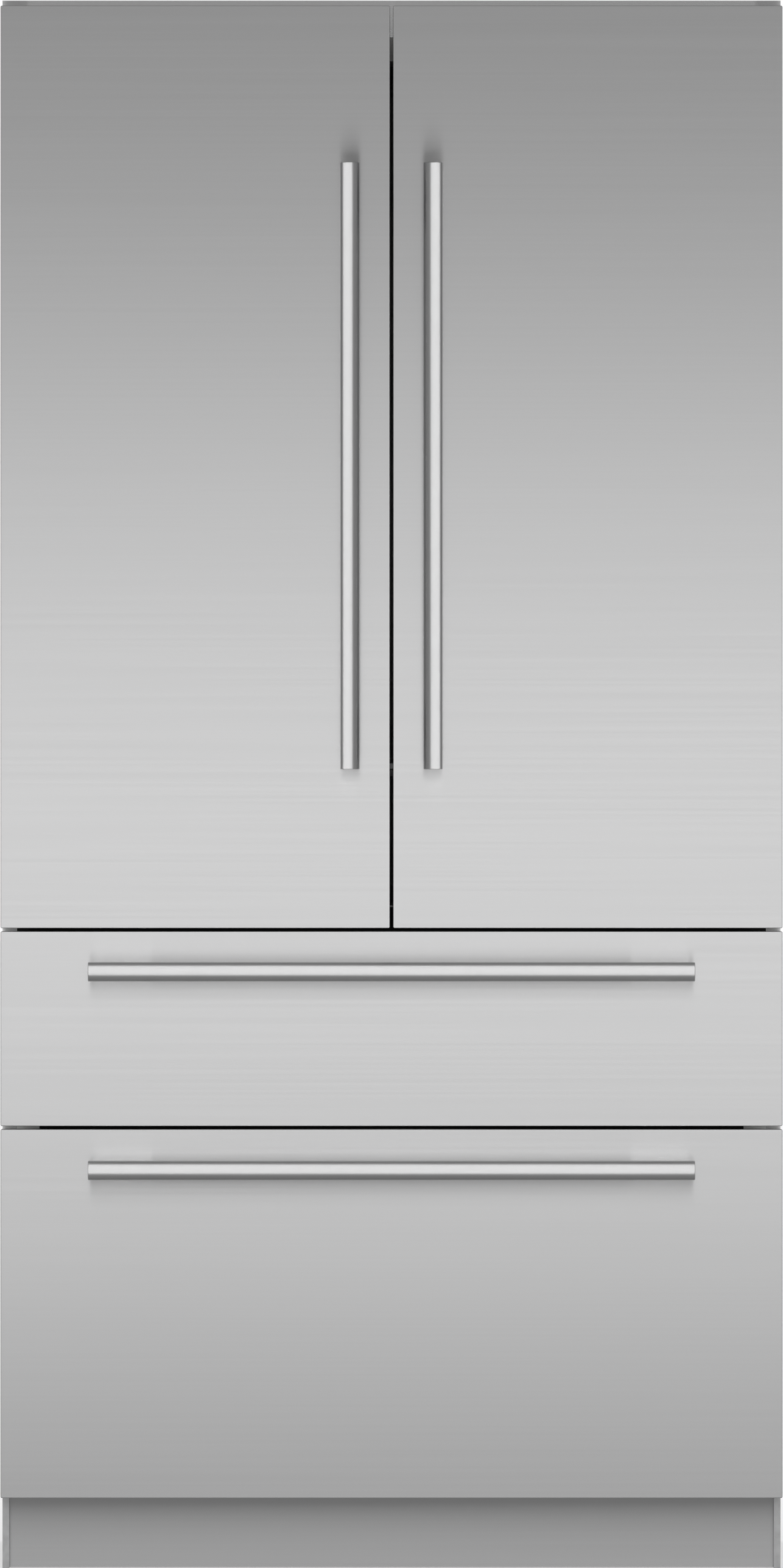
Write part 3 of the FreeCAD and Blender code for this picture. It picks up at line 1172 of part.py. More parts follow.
def make_bin(name, x, z):
    """An open door bin with rounded corners towards the shelves."""
    body = new_body(name)
    y = (y_seal, y_seal + d.bin_depth)
    plan = sketch_on(body, "XY_Plane", z)
    rectangle(plan, x, y)
    feature(body, "Pad", plan, d.bin_height)
    wall = d.bin_wall
    inside = sketch_on(body, "XY_Plane", z + d.bin_height)
    rectangle(inside, (x[0] + wall, x[1] - wall), (y[0] + wall, y[1] - wall))
    pocket = feature(body, "Pocket", inside, d.bin_height - wall)
    hollow = round_edges(body, pocket, d.bin_round - wall,
                         lambda edge: is_upright(edge) and near(edge.CenterOfMass.y, y[1] - wall))
    round_edges(body, hollow, d.bin_round, lambda edge: is_upright(edge) and near(edge.CenterOfMass.y, y[1]))
    return body


def make_hinges():
    """Hinge plates fixed to the face of the cabinet, each with a pin that the door turns on."""
    hinges = []
    for name, side in SIDES:
        axis, _, low, high = hinge_places(side)
        x = span(side, half_width - d.hinge_leg_edge - d.hinge_leg_width, half_width - d.hinge_leg_edge)
        top = high[0] + d.hinge_plate_gap
        bottom = low[1] - d.hinge_plate_gap
        plates = {"High": (top, top + d.hinge_plate), "Low": (bottom - d.hinge_plate, bottom)}
        legs = {"High": (plates["High"][1] - d.hinge_leg_height, plates["High"][1]), "Low": plates["Low"]}
        pins = {"High": high[0] - d.hinge_pin_length, "Low": bottom}
        for end in ("High", "Low"):
            tag = end + name
            leg_y = (y_face - d.hinge_plate, y_face)
            pieces = [block("HingeNeck" + tag, x, (axis[1], y_face), plates[end]),
                      block("HingeLeg" + tag, x, leg_y, legs[end]),
                      rod("HingeEye" + tag, "z", (*axis, plates[end][0]), d.hinge_eye_radius, d.hinge_plate),
                      rod("HingePin" + tag, "z", (*axis, pins[end]), d.hinge_pin_radius,
                          d.hinge_pin_length + d.hinge_plate_gap)]
            hinges.append(fuse("Hinge" + tag, *pieces))
    keep(group("DoorHinges", hinges), "door_hinges")


def channel(name, x, y, z, side, wall):
    """A sheet channel along the depth, open towards the drawer."""
    bar = block(name + "Bar", x, y, z)
    hollow_x = (x[0] - OVER, x[1] - wall) if side == RIGHT else (x[0] + wall, x[1] + OVER)
    hollow = block(name + "Hollow", hollow_x, (y[0] - OVER, y[1] + OVER), (z[0] + wall, z[1] - wall))
    return cut(name, bar, hollow)


def make_slides(name, middle):
    """Telescopic slides of one drawer: fixed, middle and drawer members, one of each at both sides."""
    y = (y_face + d.slide_setback, y_freezer_duct - d.slide_rear_gap)
    step = d.slide_wall + d.slide_play
    members = {"fixed": [], "middle": [], "drawer": []}
    for side_name, side in SIDES:
        tag = name + side_name
        inner = cavity_half - d.slide_width
        members["fixed"].append(channel("SlideFixed" + tag, span(side, inner, cavity_half), y,
                                        about(middle, d.slide_height), side, d.slide_wall))
        members["middle"].append(channel("SlideMiddle" + tag, span(side, inner, cavity_half - step), y,
                                         about(middle, d.slide_height - step * 2), side, d.slide_wall))
        members["drawer"].append(block("SlideDrawer" + tag, span(side, tub_half, cavity_half - step * 2), y,
                                       about(middle, d.slide_height - step * 4)))
    return members


def make_drawer(name, z, bottom_inset, profile, hollow, slide_middle):
    """A freezer drawer: steel front, insulated panel, gasket, handle, tub and slides."""
    x = (-half_width, half_width)
    make_skin(name + "_drawer_skin", x, z)
    inset = d.skin_thickness
    keep(block("DrawerPanel" + name, (x[0] + inset, x[1] - inset), (y_front + inset, y_seal),
               (z[0] + inset, z[1] - inset)), name + "_drawer_panel")
    make_gasket(name + "_drawer_gasket", (x[0] + d.gasket_side_inset, x[1] - d.gasket_side_inset),
                (z[0] + bottom_inset, z[1] - d.gasket_edge_inset))
    make_handle(name + "_drawer_handle", 0, z[1] - d.handle_inset, level=True)
    keep(make_tub("Tub" + name, (-tub_half, tub_half), profile, hollow, d.tub_wall), name + "_drawer_tub")
    members = make_slides(name, slide_middle)
    keep(group("DrawerSlides" + name, members["drawer"]), name + "_drawer_slides")
    keep(group("MiddleSlides" + name, members["middle"]), name + "_middle_slides")
    return members["fixed"]


def make_drawers():
    """Both freezer drawers; the lower tub is stepped to pass over the machine space."""
    wall = d.tub_wall
    front, back = y_seal, y_freezer_duct - d.tub_rear_gap
    low, high = z_rail[1] + d.tub_gap, z_freezer_inside[1] - d.tub_top_gap
    profile = [(front, low), (back, low), (back, high), (front, high)]
    hollow = [(front + wall, low + wall), (back - wall, low + wall), (back - wall, high + OVER),
              (front + wall, high + OVER)]
    fixed = make_drawer("upper", z_upper, d.gasket_edge_inset, profile, hollow, low + d.upper_slide_height)

    low, high = z_freezer_inside[0] + d.tub_gap, z_rail[0] - d.tub_gap
    step_y = y_hump - d.liner_thickness - d.tub_gap
    step_z = z_hump + d.liner_thickness + d.tub_gap
    profile = [(front, low), (step_y, low), (step_y, step_z), (back, step_z), (back, high), (front, high)]
    hollow = [(front + wall, low + wall), (step_y - wall, low + wall), (step_y - wall, step_z + wall),
              (back - wall, step_z + wall), (back - wall, high + OVER), (front + wall, high + OVER)]
    fixed += make_drawer("lower", z_lower, d.gasket_edge_inset * 2, profile, hollow,
                         low + d.lower_slide_height)
    keep(group("FixedSlides", fixed), "fixed_slides")


def make_tip_bracket():
    """Angle on top of the case that is screwed to the wall so the appliance can't tip forward."""
    body = new_body("AntiTipBracket")
    profile = sketch_on(body, "YZ_Plane")
    low, high = z_case_top, z_case_top + d.tip_height
    front, inner = y_back - d.tip_depth, y_back - d.tip_sheet
    outline(profile, [(front, low), (y_back, low), (y_back, high), (inner, high),
                      (inner, low + d.tip_sheet), (front, low + d.tip_sheet)])
    feature(body, "Pad", profile, d.tip_length, midplane=True)
    holes = sketch_on(body, "XZ_Plane", -y_back)
    for side in (LEFT, RIGHT):
        circle(holes, side * d.tip_hole_spacing / 2, low + (d.tip_height + d.tip_sheet) / 2,
               d.tip_hole_radius)
    feature(body, "Pocket", holes, d.tip_sheet * SHEETS, midplane=True)
    keep(body, "anti_tip_bracket")


def check_all():
    """Stops if any object failed or any finished shape is unusable."""
    doc.recompute()
    for item in doc.Objects:
        if "Invalid" in item.State or "Error" in item.State:
            raise RuntimeError(f"{item.Name} failed: {item.State}")
    for item in nodes:
        if item.Shape.isNull() or not item.Shape.isValid() or not item.Shape.Solids:
            raise RuntimeError(f"{item.Label} has no usable shape")


make_case()
make_liners()
make_face()
make_base()
make_machine_space()
make_ducts()
make_shelves()
make_crispers()
make_lights()
make_hinges()
for side_name, side in SIDES:
    make_door(side_name, side)
make_drawers()
make_tip_bracket()
check_all()

os.makedirs("parts", exist_ok=True)
for item in nodes:
    item.Shape.exportStep(f"parts/{item.Label}.step")
    box = item.Shape.BoundBox
    print(f"{item.Label}: {len(item.Shape.Solids)} solids, {item.Shape.Volume / 1000:.1f} cm3, "
          f"x {box.XMin:.1f} {box.XMax:.1f} y {box.YMin:.1f} {box.YMax:.1f} z {box.ZMin:.1f} {box.ZMax:.1f}")
print(len(nodes), "sub-parts")
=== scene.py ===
# %% [markdown]
# # A built-in french door refrigerator
# The solids of this refrigerator come from a CAD model, and they carry its sizes and its joints. Blender
# adds what a solid can't say: brushed steel, moulded plastic, soft gaskets, bright screws, and the light of
# a photo studio. We start by loading the solids as a frame that nothing in this script moves, and by
# counting the solids and their material slots.

# %% Load the frame
import json
import math

import bmesh
import bpy
import numpy as np
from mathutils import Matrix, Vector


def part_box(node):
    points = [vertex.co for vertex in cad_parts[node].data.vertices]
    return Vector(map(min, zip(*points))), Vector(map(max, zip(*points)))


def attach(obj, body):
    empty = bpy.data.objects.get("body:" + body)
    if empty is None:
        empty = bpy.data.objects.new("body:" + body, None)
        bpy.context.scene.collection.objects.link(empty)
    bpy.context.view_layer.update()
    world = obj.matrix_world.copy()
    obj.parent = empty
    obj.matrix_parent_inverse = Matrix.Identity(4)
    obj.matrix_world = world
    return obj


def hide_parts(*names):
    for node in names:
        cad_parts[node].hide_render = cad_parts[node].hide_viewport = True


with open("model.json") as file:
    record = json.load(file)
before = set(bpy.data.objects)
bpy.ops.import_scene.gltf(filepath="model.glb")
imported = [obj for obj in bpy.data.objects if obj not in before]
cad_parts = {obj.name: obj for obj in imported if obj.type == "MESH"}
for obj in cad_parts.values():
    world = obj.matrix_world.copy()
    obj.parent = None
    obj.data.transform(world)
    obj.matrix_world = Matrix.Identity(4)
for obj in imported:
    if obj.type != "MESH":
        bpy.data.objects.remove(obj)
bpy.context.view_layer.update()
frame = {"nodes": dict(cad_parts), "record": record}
part = frame["nodes"]
slot_of = {row["node"]: row["material_slot"] for row in frame["record"]["subparts"]}
print("nodes:", len(part), "slots:", len(set(slot_of.values())))

# %% [markdown]
# ## Small helpers for finishes
# A real surface is never one flat colour: it has a grain, patches that shine a little more, and tiny bumps.
# Painted pictures could show these, but they need image files and unwrapped meshes. A noise texture that
# reads Object coordinates needs neither, and it stays fixed to the piece in metres. Three helpers keep the
# node code short: one sets sockets, one adds a node, and one makes a stretched noise.

# %% Sockets, nodes and noise
def set_sockets(node, sockets):
    """Sets input sockets by name, underscores standing for spaces."""
    for name, value in sockets.items():
        node.inputs[name.replace("_", " ")].default_value = value
    return node


def add_node(tree, kind, **sockets):
    """A new node with some of its input sockets set."""
    return set_sockets(tree.nodes.new(kind), sockets)


def noise(tree, stretch, detail=2.0):
    """Noise whose cells are 1/stretch metres long on each axis."""
    place = add_node(tree, "ShaderNodeTexCoord")
    scale = add_node(tree, "ShaderNodeMapping", Scale=stretch)
    texture = add_node(tree, "ShaderNodeTexNoise", Scale=1.0, Detail=detail)
    tree.links.new(place.outputs["Object"], scale.inputs["Vector"])
    tree.links.new(scale.outputs["Vector"], texture.inputs["Vector"])
    return texture.outputs["Fac"]


# %% [markdown]
# Most values of a noise lie in the middle between 0 and 1. A Map Range node carries them to the range we
# want, and a Mix node turns them into a colour between a dark and a light one. A Color Ramp could do both
# in one node, but these two are set by plain numbers on sockets.

# %% From noise to values and colours
NOISE_LOW, NOISE_HIGH = 0.3, 0.7  # most values of a noise texture lie between these
MIX_DARK, MIX_LIGHT, MIX_COLOUR = 6, 7, 2  # where a Mix node keeps its two input colours and its result


def between(tree, value, low, high):
    """Carries a noise value linearly to the range from low to high."""
    node = add_node(tree, "ShaderNodeMapRange", From_Min=NOISE_LOW, From_Max=NOISE_HIGH, To_Min=low,
                    To_Max=high)
    tree.links.new(value, node.inputs["Value"])
    return node.outputs["Result"]


def shade_between(tree, value, dark, light):
    """A colour that runs from dark to light as a noise value rises."""
    node = tree.nodes.new("ShaderNodeMix")
    node.data_type = "RGBA"
    node.inputs[MIX_DARK].default_value = (*dark, 1.0)
    node.inputs[MIX_LIGHT].default_value = (*light, 1.0)
    tree.links.new(between(tree, value, 0.0, 1.0), node.inputs["Factor"])
    return node.outputs[MIX_COLOUR]


# %% [markdown]
# ## One function for all finishes
# Every finish on the refrigerator is a Principled shader with the same three touches: colour that drifts by
# a few percent, roughness that drifts, and a fine relief. Each could have a node tree drawn by hand, but
# they differ only in numbers, such as the colour, the size of the grain and the strength of each touch. So
# one function makes them all. Values that are equal all over are set on the shader's own sockets, so they
# survive an export.

# %% The finish function
PATCH_DETAIL = 3.0


def scaled(colour, share):
    """The same hue, lighter or darker by a share."""
    return tuple(min(1.0, c * share) for c in colour)


def even(cells):
    """As many noise cells in a metre on all three axes."""
    return (cells, cells, cells)


def finish(name, colour, rough, drift=0.04, rough_drift=0.05, patch=even(6), grain=even(400),
           relief=0.05, depth=0.0002, **sockets):
    """A finish with a patchy noise and a fine one.

    The patches give colour * (1 +- drift) and rough +- rough_drift, the fine noise gives the relief.
    """
    material = bpy.data.materials.new(name)
    material.use_nodes = True
    tree = material.node_tree
    shader = set_sockets(tree.nodes["Principled BSDF"], sockets)
    patches = noise(tree, patch, detail=PATCH_DETAIL)
    fine = noise(tree, grain)
    shade = shade_between(tree, patches, scaled(colour, 1 - drift), scaled(colour, 1 + drift))
    tree.links.new(shade, shader.inputs["Base Color"])
    roughness = between(tree, patches, rough - rough_drift, rough + rough_drift)
    tree.links.new(roughness, shader.inputs["Roughness"])
    bump = add_node(tree, "ShaderNodeBump", Strength=relief, Distance=depth)
    tree.links.new(fine, bump.inputs["Height"])
    tree.links.new(bump.outputs["Normal"], shader.inputs["Normal"])
    return material


# %% [markdown]
# ## Brushed stainless steel
# The sheets of the doors, drawers and toe kick are ground with a belt that runs from side to side. The
# scratches scatter light up and down far more than sideways, which is why a handle leaves a tall soft smear
# in the steel. Modelled scratches would be finer than a pixel, so we take what they add up to, which is the
# Principled shader's Anisotropic. A radial tangent about Z lies level on an upright sheet, and a quarter
# turn makes the highlight stretch upwards. The grain noise is long in X and Y and very short in Z. The
# steel of the bars is given no direction, because the light on them falls off evenly.

# %% Stainless finishes
QUARTER_TURN = 0.25
BRUSHED_GRAIN = (2.5, 2.5, 900)
BRUSHED_PATCH = (1.2, 1.2, 260)


def brushed(name, colour, rough):
    """A sheet whose scratches run level, with highlights turned upright across them."""
    material = finish(name, colour, rough, drift=0.012, rough_drift=0.012, patch=BRUSHED_PATCH,
                      grain=BRUSHED_GRAIN, relief=0.012, depth=0.00005, Metallic=1.0, Anisotropic=1.0,
                      Anisotropic_Rotation=QUARTER_TURN)
    tree = material.node_tree
    tangent = tree.nodes.new("ShaderNodeTangent")
    tangent.direction_type = "RADIAL"
    tangent.axis = "Z"
    tree.links.new(tangent.outputs["Tangent"], tree.nodes["Principled BSDF"].inputs["Tangent"])
    return material


finishes = {"stainless": brushed("brushed_stainless", (0.62, 0.62, 0.622), 0.29)}
finishes["handle_steel"] = finish("satin_handle_steel", (0.52, 0.52, 0.522), 0.34, drift=0.008,
                                  rough_drift=0.006, patch=even(40), grain=even(900), relief=0.01,
                                  depth=0.00004, Metallic=1.0)
# painted light: the strip above the doors gets a lighter copy of the fronts' brushed steel, so that it
# reads brighter
painted_light_trim = brushed("painted_light_trim_steel", (0.86, 0.86, 0.862), 0.28)
print("steel finishes:", list(finishes), "and", painted_light_trim.name)

# %% [markdown]
# ## Other metals and paint
# The hinges, slides and shelf tracks are zinc plated, a dull metal with a faint mottle. The case is steel
# sheet with a baked grey paint, whose slight orange peel is a coarse, weak relief. The compressor is black.
# The fins are thin bare aluminium. Metallic is 1 on bare metal and stays 0 on paint, because paint hides
# the metal under it.

# %% Metal and paint finishes
finishes["zinc_steel"] = finish("zinc_plate", (0.68, 0.682, 0.685), 0.42, drift=0.05, rough_drift=0.05,
                                patch=even(90), relief=0.04, Metallic=1.0)
finishes["case_paint"] = finish("grey_case_paint", (0.34, 0.345, 0.35), 0.45, drift=0.03,
                                grain=even(220), relief=0.08)
finishes["black_paint"] = finish("black_baked_paint", (0.03, 0.03, 0.032), 0.42, drift=0.15,
                                 grain=even(260), relief=0.1)
finishes["fin_aluminium"] = finish("bare_aluminium", (0.75, 0.75, 0.76), 0.38, rough_drift=0.06,
                                   patch=even(60), Metallic=1.0)
print("with metal and paint:", list(finishes))

# %% [markdown]
# ## Plastic, rubber and glass
# The liners, duct panels and tubs are white moulded plastic with a satin skin. The bins and crispers are
# clear plastic and the shelves are glass with a green cast, so both let light through. A mix with a
# Transparent shader would be quicker to render, but Transmission also bends the light, which makes the
# edges read as glass. Gaskets and rollers are soft and dull. The foam is only seen by someone who takes the
# case apart, but it still gets its open-pored relief.

# %% Plastic, rubber and glass finishes
finishes["liner_white"] = finish("white_liner_plastic", (0.84, 0.84, 0.83), 0.32, drift=0.015,
                                 grain=even(500), relief=0.04)
finishes["clear_plastic"] = finish("clear_bin_plastic", (0.972, 0.984, 0.988), 0.07, drift=0.01,
                                   rough_drift=0.03, grain=even(120), relief=0.02,
                                   Transmission_Weight=0.92, IOR=1.49)
finishes["shelf_glass"] = finish("tempered_glass", (0.94, 0.98, 0.965), 0.03, drift=0.01,
                                 rough_drift=0.015, grain=even(60), relief=0.01,
                                 Transmission_Weight=1.0, IOR=1.5)
finishes["gasket_grey"] = finish("grey_gasket_vinyl", (0.23, 0.232, 0.235), 0.6, drift=0.06,
                                 grain=even(700), relief=0.12)
finishes["light_lens"] = finish("frosted_lens", (0.92, 0.92, 0.89), 0.5, drift=0.01, relief=0.03,
                                Subsurface_Weight=0.2)
finishes["dark_plastic"] = finish("dark_moulded_plastic", (0.045, 0.045, 0.047), 0.5, drift=0.12,
                                  grain=even(900), relief=0.15)
finishes["grey_plastic"] = finish("grey_moulded_plastic", (0.3, 0.302, 0.305), 0.45, drift=0.04,
                                  grain=even(800), relief=0.1)
finishes["roller_rubber"] = finish("roller_rubber", (0.05, 0.05, 0.05), 0.7, drift=0.2, relief=0.2)
finishes["foam"] = finish("insulating_foam", (0.85, 0.78, 0.6), 0.85, drift=0.08, patch=even(30),
                          grain=even(300), relief=0.6, depth=0.001)
# painted shade: the rails behind the gaps get dark plastic made near-black, so that the gaps read as deep
# shadow
painted_shade_black = finish("painted_shade_gap_plastic", (0.012, 0.012, 0.012), 0.6, drift=0.2, grain=even(900),
                   relief=0.1, Specular_IOR_Level=0.15)
print("finishes:", len(finishes), "and", painted_shade_black.name)

# %% [markdown]
# ## Dress the solids
# A solid whose shape is already right only changes its material. The record of the part says which slot
# each solid belongs to, so one loop dresses them all. Three solids have a finish of their own. The strip
# above the doors gets a lighter copy of the fronts' brushed steel, painted light that makes it read
# brighter than the fronts. The rails behind the gaps are dark plastic made near-black, painted shade that
# makes the gaps read as deep shadow.

# %% Give every solid its finish
own_finish = {"top_trim": painted_light_trim, "mullion_rail": painted_shade_black, "drawer_rail": painted_shade_black}
for name, solid in part.items():
    solid.data.materials.clear()
    solid.data.materials.append(own_finish.get(name, finishes[slot_of[name]]))
print("dressed:", len(part))

# %% [markdown]
# ## From arrays to meshes
# All new pieces are surfaces: a function of two parameters, sampled on a grid of rows and columns.
# Primitives and modifiers could give similar forms, but a formula puts every point exactly where we want
# it. Neighbouring samples are joined by four-sided faces. The last column always joins the first one, so
# each row is a closed loop, and in a ring the last row joins the first one too. The corners of all faces
# follow from index arithmetic on whole arrays.

# %% Faces of a grid
def grid_faces(rows, columns, ring):
    """Corner indices of the faces between neighbouring samples of a grid of closed rows."""
    row = np.arange(rows if ring else rows - 1)[:, None]
    column = np.arange(columns)[None, :]
    next_row, next_column = (row + 1) % rows, (column + 1) % columns
    corners = (row * columns + column, row * columns + next_column,
               next_row * columns + next_column, next_row * columns + column)
    return np.stack(np.broadcast_arrays(*corners), axis=-1).reshape(-1, 4)


print("faces between 3 rows of 4 samples:", len(grid_faces(3, 4, False)))

# %% [markdown]
# Several surfaces make one mesh. Where a whole row lies on one point, as at the end of a bar, its samples
# are merged, and the faces around that point become triangles. Faces that meet at a small angle are shaded
# as one curved surface, and all others keep a sharp edge between them.

# %% Meshes from surfaces
SMOOTH_ANGLE = math.radians(35)
SAME_POINT = 1e-6


def mesh_of(name, surfaces, ring):
    """One smooth mesh from several surfaces, with samples on the same point merged."""
    points, faces, start = [], [], 0
    for surface in surfaces:
        rows, columns = surface.shape[:2]
        points.append(surface.reshape(-1, 3))
        faces.append(grid_faces(rows, columns, ring) + start)
        start += rows * columns
    mesh = bpy.data.meshes.new(name)
    mesh.from_pydata(np.concatenate(points).tolist(), [], np.concatenate(faces).tolist())
    shape = bmesh.new()
    shape.from_mesh(mesh)
    bmesh.ops.remove_doubles(shape, verts=shape.verts, dist=SAME_POINT)
    shape.to_mesh(mesh)
    shape.free()
    mesh.polygons.foreach_set("use_smooth", np.ones(len(mesh.polygons), dtype=bool))
    mesh.set_sharp_from_angle(angle=SMOOTH_ANGLE)
    return mesh


# %% [markdown]
# A piece is such a mesh in the finish of its slot, riding on the body that carries it when a joint moves.
# The solids that it stands in for are hidden.

# %% Pieces that ride on bodies
def piece(name, surfaces, slot, body, replaced=(), ring=False):
    """A new object in the finish of its slot, riding on a body in place of the solids it replaces."""
    mesh = mesh_of(name, surfaces, ring)
    mesh.materials.append(finishes[slot])
    made = bpy.data.objects.new(name, mesh)
    bpy.context.scene.collection.objects.link(made)
    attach(made, body)
    if replaced:
        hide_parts(*replaced)
    print(name, len(mesh.polygons), "faces")
    return made


# %% [markdown]
# ## Bar handles
# Each handle is a round bar with softly broken ends, welded onto two long flat brackets that stand on the
# front. A cylinder with bevelled edges would do for the bar. As a surface of revolution it needs only a
# profile of radius against length, turned about the bar's axis. The profile ends on the axis, so the ends
# are closed.

# %% The shape of a bar
BAR_STEPS, BAR_ROWS = 96, 25
END_ROUND, END_STEPS = 0.0008, 8


def turned(profile, steps):
    """Surface of revolution: (radius, height) pairs turned about the third axis, height along it."""
    angle = np.linspace(0, 2 * np.pi, steps, endpoint=False)[None, :]
    radius, height = profile[:, 0][:, None], profile[:, 1][:, None]
    return np.stack([radius * np.cos(angle), radius * np.sin(angle), height + 0 * angle], axis=-1)


def bar_profile(radius, length):
    """Radius against length of a bar with quarter rounds at its ends, from the axis back to the axis."""
    turn = np.linspace(0, np.pi / 2, END_STEPS)
    start = np.stack([radius - END_ROUND + END_ROUND * np.sin(turn),
                      END_ROUND - END_ROUND * np.cos(turn) - length / 2], axis=-1)
    stop = start[::-1] * (1, -1)
    height = np.linspace(start[-1, 1], stop[0, 1], BAR_ROWS)[1:-1]
    middle = np.stack([np.full_like(height, radius), height], axis=-1)
    return np.concatenate([[(0, -length / 2)], start, middle, stop, [(0, length / 2)]])


# %% [markdown]
# Two shapes come back in most of the other pieces. A rounded rectangle is the section of the brackets, the
# rails and the bands, and the path of the gaskets, and its normals tell which way is out. A section that is
# carried along a path leaves both ends open, so each end gets one more row, whose samples all lie on one
# point.

# %% Rounded rectangles and closed ends
def rounded_loop(half_x, half_z, corner, per_corner=8):
    """A closed rounded rectangle and its normals: four quarter circles joined by straight sides."""
    turn = np.linspace(0, np.pi / 2, per_corner)
    quarter = np.arange(4)[:, None] * np.pi / 2 + turn[None, :]
    sign_x, sign_z = np.array([1, -1, -1, 1])[:, None], np.array([1, 1, -1, -1])[:, None]
    x = sign_x * (half_x - corner) + corner * np.cos(quarter)
    z = sign_z * (half_z - corner) + corner * np.sin(quarter)
    normal = np.stack([np.cos(quarter), np.sin(quarter)], axis=-1).reshape(-1, 2)
    return np.stack([x, z], axis=-1).reshape(-1, 2), normal


def closed_ends(rows):
    """Adds a row at each end in which all samples lie on the middle of that end's loop."""
    first = np.broadcast_to(rows[0].mean(0), rows[0].shape)
    last = np.broadcast_to(rows[-1].mean(0), rows[-1].shape)
    return np.concatenate([first[None], rows, last[None]])


# %% [markdown]
# A bracket is a rounded rectangle carried straight from the front into the bar. It swells a little where it
# meets the front, as a polished weld does. A bevel could make that swell too, but here it is one formula: a
# bead that fades with the distance from the front.

# %% The shape of a bracket
BRACKET_LENGTH, BRACKET_WIDTH, BRACKET_SETBACK = 0.080, 0.016, 0.006
BRACKET_CORNER, BRACKET_ROWS = 0.003, 21
WELD, WELD_REACH = 0.0012, 0.00144


def bracket_surface(depth):
    """A rounded rectangle carried along the depth, pushed outwards by a weld bead at the front.

    The bead is WELD * exp(-distance from the front / WELD_REACH), along the loop's normal.
    """
    loop, normal = rounded_loop(BRACKET_WIDTH / 2, BRACKET_LENGTH / 2, BRACKET_CORNER)
    along = np.linspace(1, 0, BRACKET_ROWS)[:, None, None]
    swell = WELD * np.exp(-(1 - along) * depth / WELD_REACH)
    across = loop[None] + swell * normal[None]
    back = np.broadcast_to(along[..., 0] * depth, across.shape[:2])
    return closed_ends(np.stack([across[..., 0], back, across[..., 1]], axis=-1))


# %% [markdown]
# The box of the CAD handle gives the place: its narrow side is the bar's diameter, its front is the front
# of the bar, and its back is where the brackets stand. A level handle is the upright one with X and Z
# exchanged.

# %% Make the four handles
# each front, and whether its handle is level
FRONTS = {"left_door": False, "right_door": False, "upper_drawer": True, "lower_drawer": True}


def box_of(node):
    """The low and high corners of a solid's box, its middle and its size, as arrays."""
    low, high = (np.array(corner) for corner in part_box(node))
    return low, high, (low + high) / 2, high - low


def handle(front, level):
    """The bar and both brackets of one handle, in place of its solid."""
    low, high, middle, size = box_of(front + "_handle")
    length, radius = (size[0], size[2] / 2) if level else (size[2], size[0] / 2)
    axis_y = low[1] + radius
    surfaces = [turned(bar_profile(radius, length), BAR_STEPS)]
    reach = length / 2 - BRACKET_SETBACK - BRACKET_LENGTH / 2
    for side in (-1, 1):
        surfaces.append(bracket_surface(high[1] - axis_y) + (0, 0, side * reach))
    order = [2, 1, 0] if level else [0, 1, 2]
    place = np.array([middle[0], axis_y, middle[2]])
    turn = -1 if level else 1  # exchanging two axes mirrors a surface, so its rows run the other way
    placed = [surface[::turn, :, order] + place for surface in surfaces]
    return piece(front + "_bar_handle", placed, "handle_steel", front, [front + "_handle"])


handles = {front: handle(front, level) for front, level in FRONTS.items()}

# %% [markdown]
# ## Magnetic gaskets
# A refrigerator gasket is a soft extrusion: a foot that is pressed into a groove, a bellows that can
# stretch, and a hollow bead with a magnet strip that lands on the cabinet. A curve with a bevel object
# could carry such a section. Here the section is a closed outline in two directions, outwards from the
# middle of the front and backwards from it. A formula carries it around a rounded rectangle along the
# loop's normals, so it keeps its width in the corners.

# %% Gasket shapes
GASKET_WIDTH, GASKET_CORNER = 0.015, 0.009
OUTER_SIDE = np.array([  # (outwards, backwards), as shares of the width and of the depth
    (0.30, 0.00), (0.34, 0.10), (0.20, 0.18), (0.20, 0.30), (0.40, 0.38), (0.46, 0.48),
    (0.40, 0.56), (0.28, 0.62), (0.40, 0.68), (0.49, 0.76), (0.49, 0.92), (0.42, 1.00)])
INNER_SIDE = OUTER_SIDE[::-1] * (-1, 1)
SECTION = np.concatenate([INNER_SIDE[-1:], OUTER_SIDE, INNER_SIDE[:-1]])


def gasket(front):
    """The section carried around its rounded rectangle: loop point + outwards * normal + backwards."""
    low, _, middle, size = box_of(front + "_gasket")
    half_x, half_z = size[0] / 2 - GASKET_WIDTH / 2, size[2] / 2 - GASKET_WIDTH / 2
    loop, normal = rounded_loop(half_x, half_z, GASKET_CORNER)
    out = SECTION[:, 0] * GASKET_WIDTH
    back = SECTION[:, 1] * size[1]
    around = loop[:, None, :] + out[None, :, None] * normal[:, None, :]
    surface = np.stack([around[..., 0] + middle[0], np.broadcast_to(low[1] + back, around.shape[:2]),
                        around[..., 1] + middle[2]], axis=-1)
    return piece(front + "_bellows_gasket", [surface], "gasket_grey", front, [front + "_gasket"], ring=True)


for front in FRONTS:
    gasket(front)

# %% [markdown]
# ## Rails on the glass shelves
# A loose pane gets a slim rail along its front edge, which hides the cut edge and stops bottles from
# sliding off. A rail is a rounded rectangle carried along X, with closed ends. Numbers for each rail could
# be typed in, but the panes' own corners tell where each one starts and ends: on every level the ends of
# the straight front edges, sorted along X, pair up pane by pane, and a rail reaches past them over the
# pane's rounded corners.

# %% The shape of a rail
RAIL_ROWS = 12


def rail_surface(section, start, stop, middle_y, middle_z, lean=0.0):
    """A section in Y and Z repeated along X, with closed ends.

    The lean is how far the section goes back for each step down.
    """
    x = np.linspace(start, stop, RAIL_ROWS)[:, None]
    y = (middle_y + section[:, 0] - lean * section[:, 1])[None]
    z = (middle_z + section[:, 1])[None]
    return closed_ends(np.stack(np.broadcast_arrays(x, y, z), axis=-1))


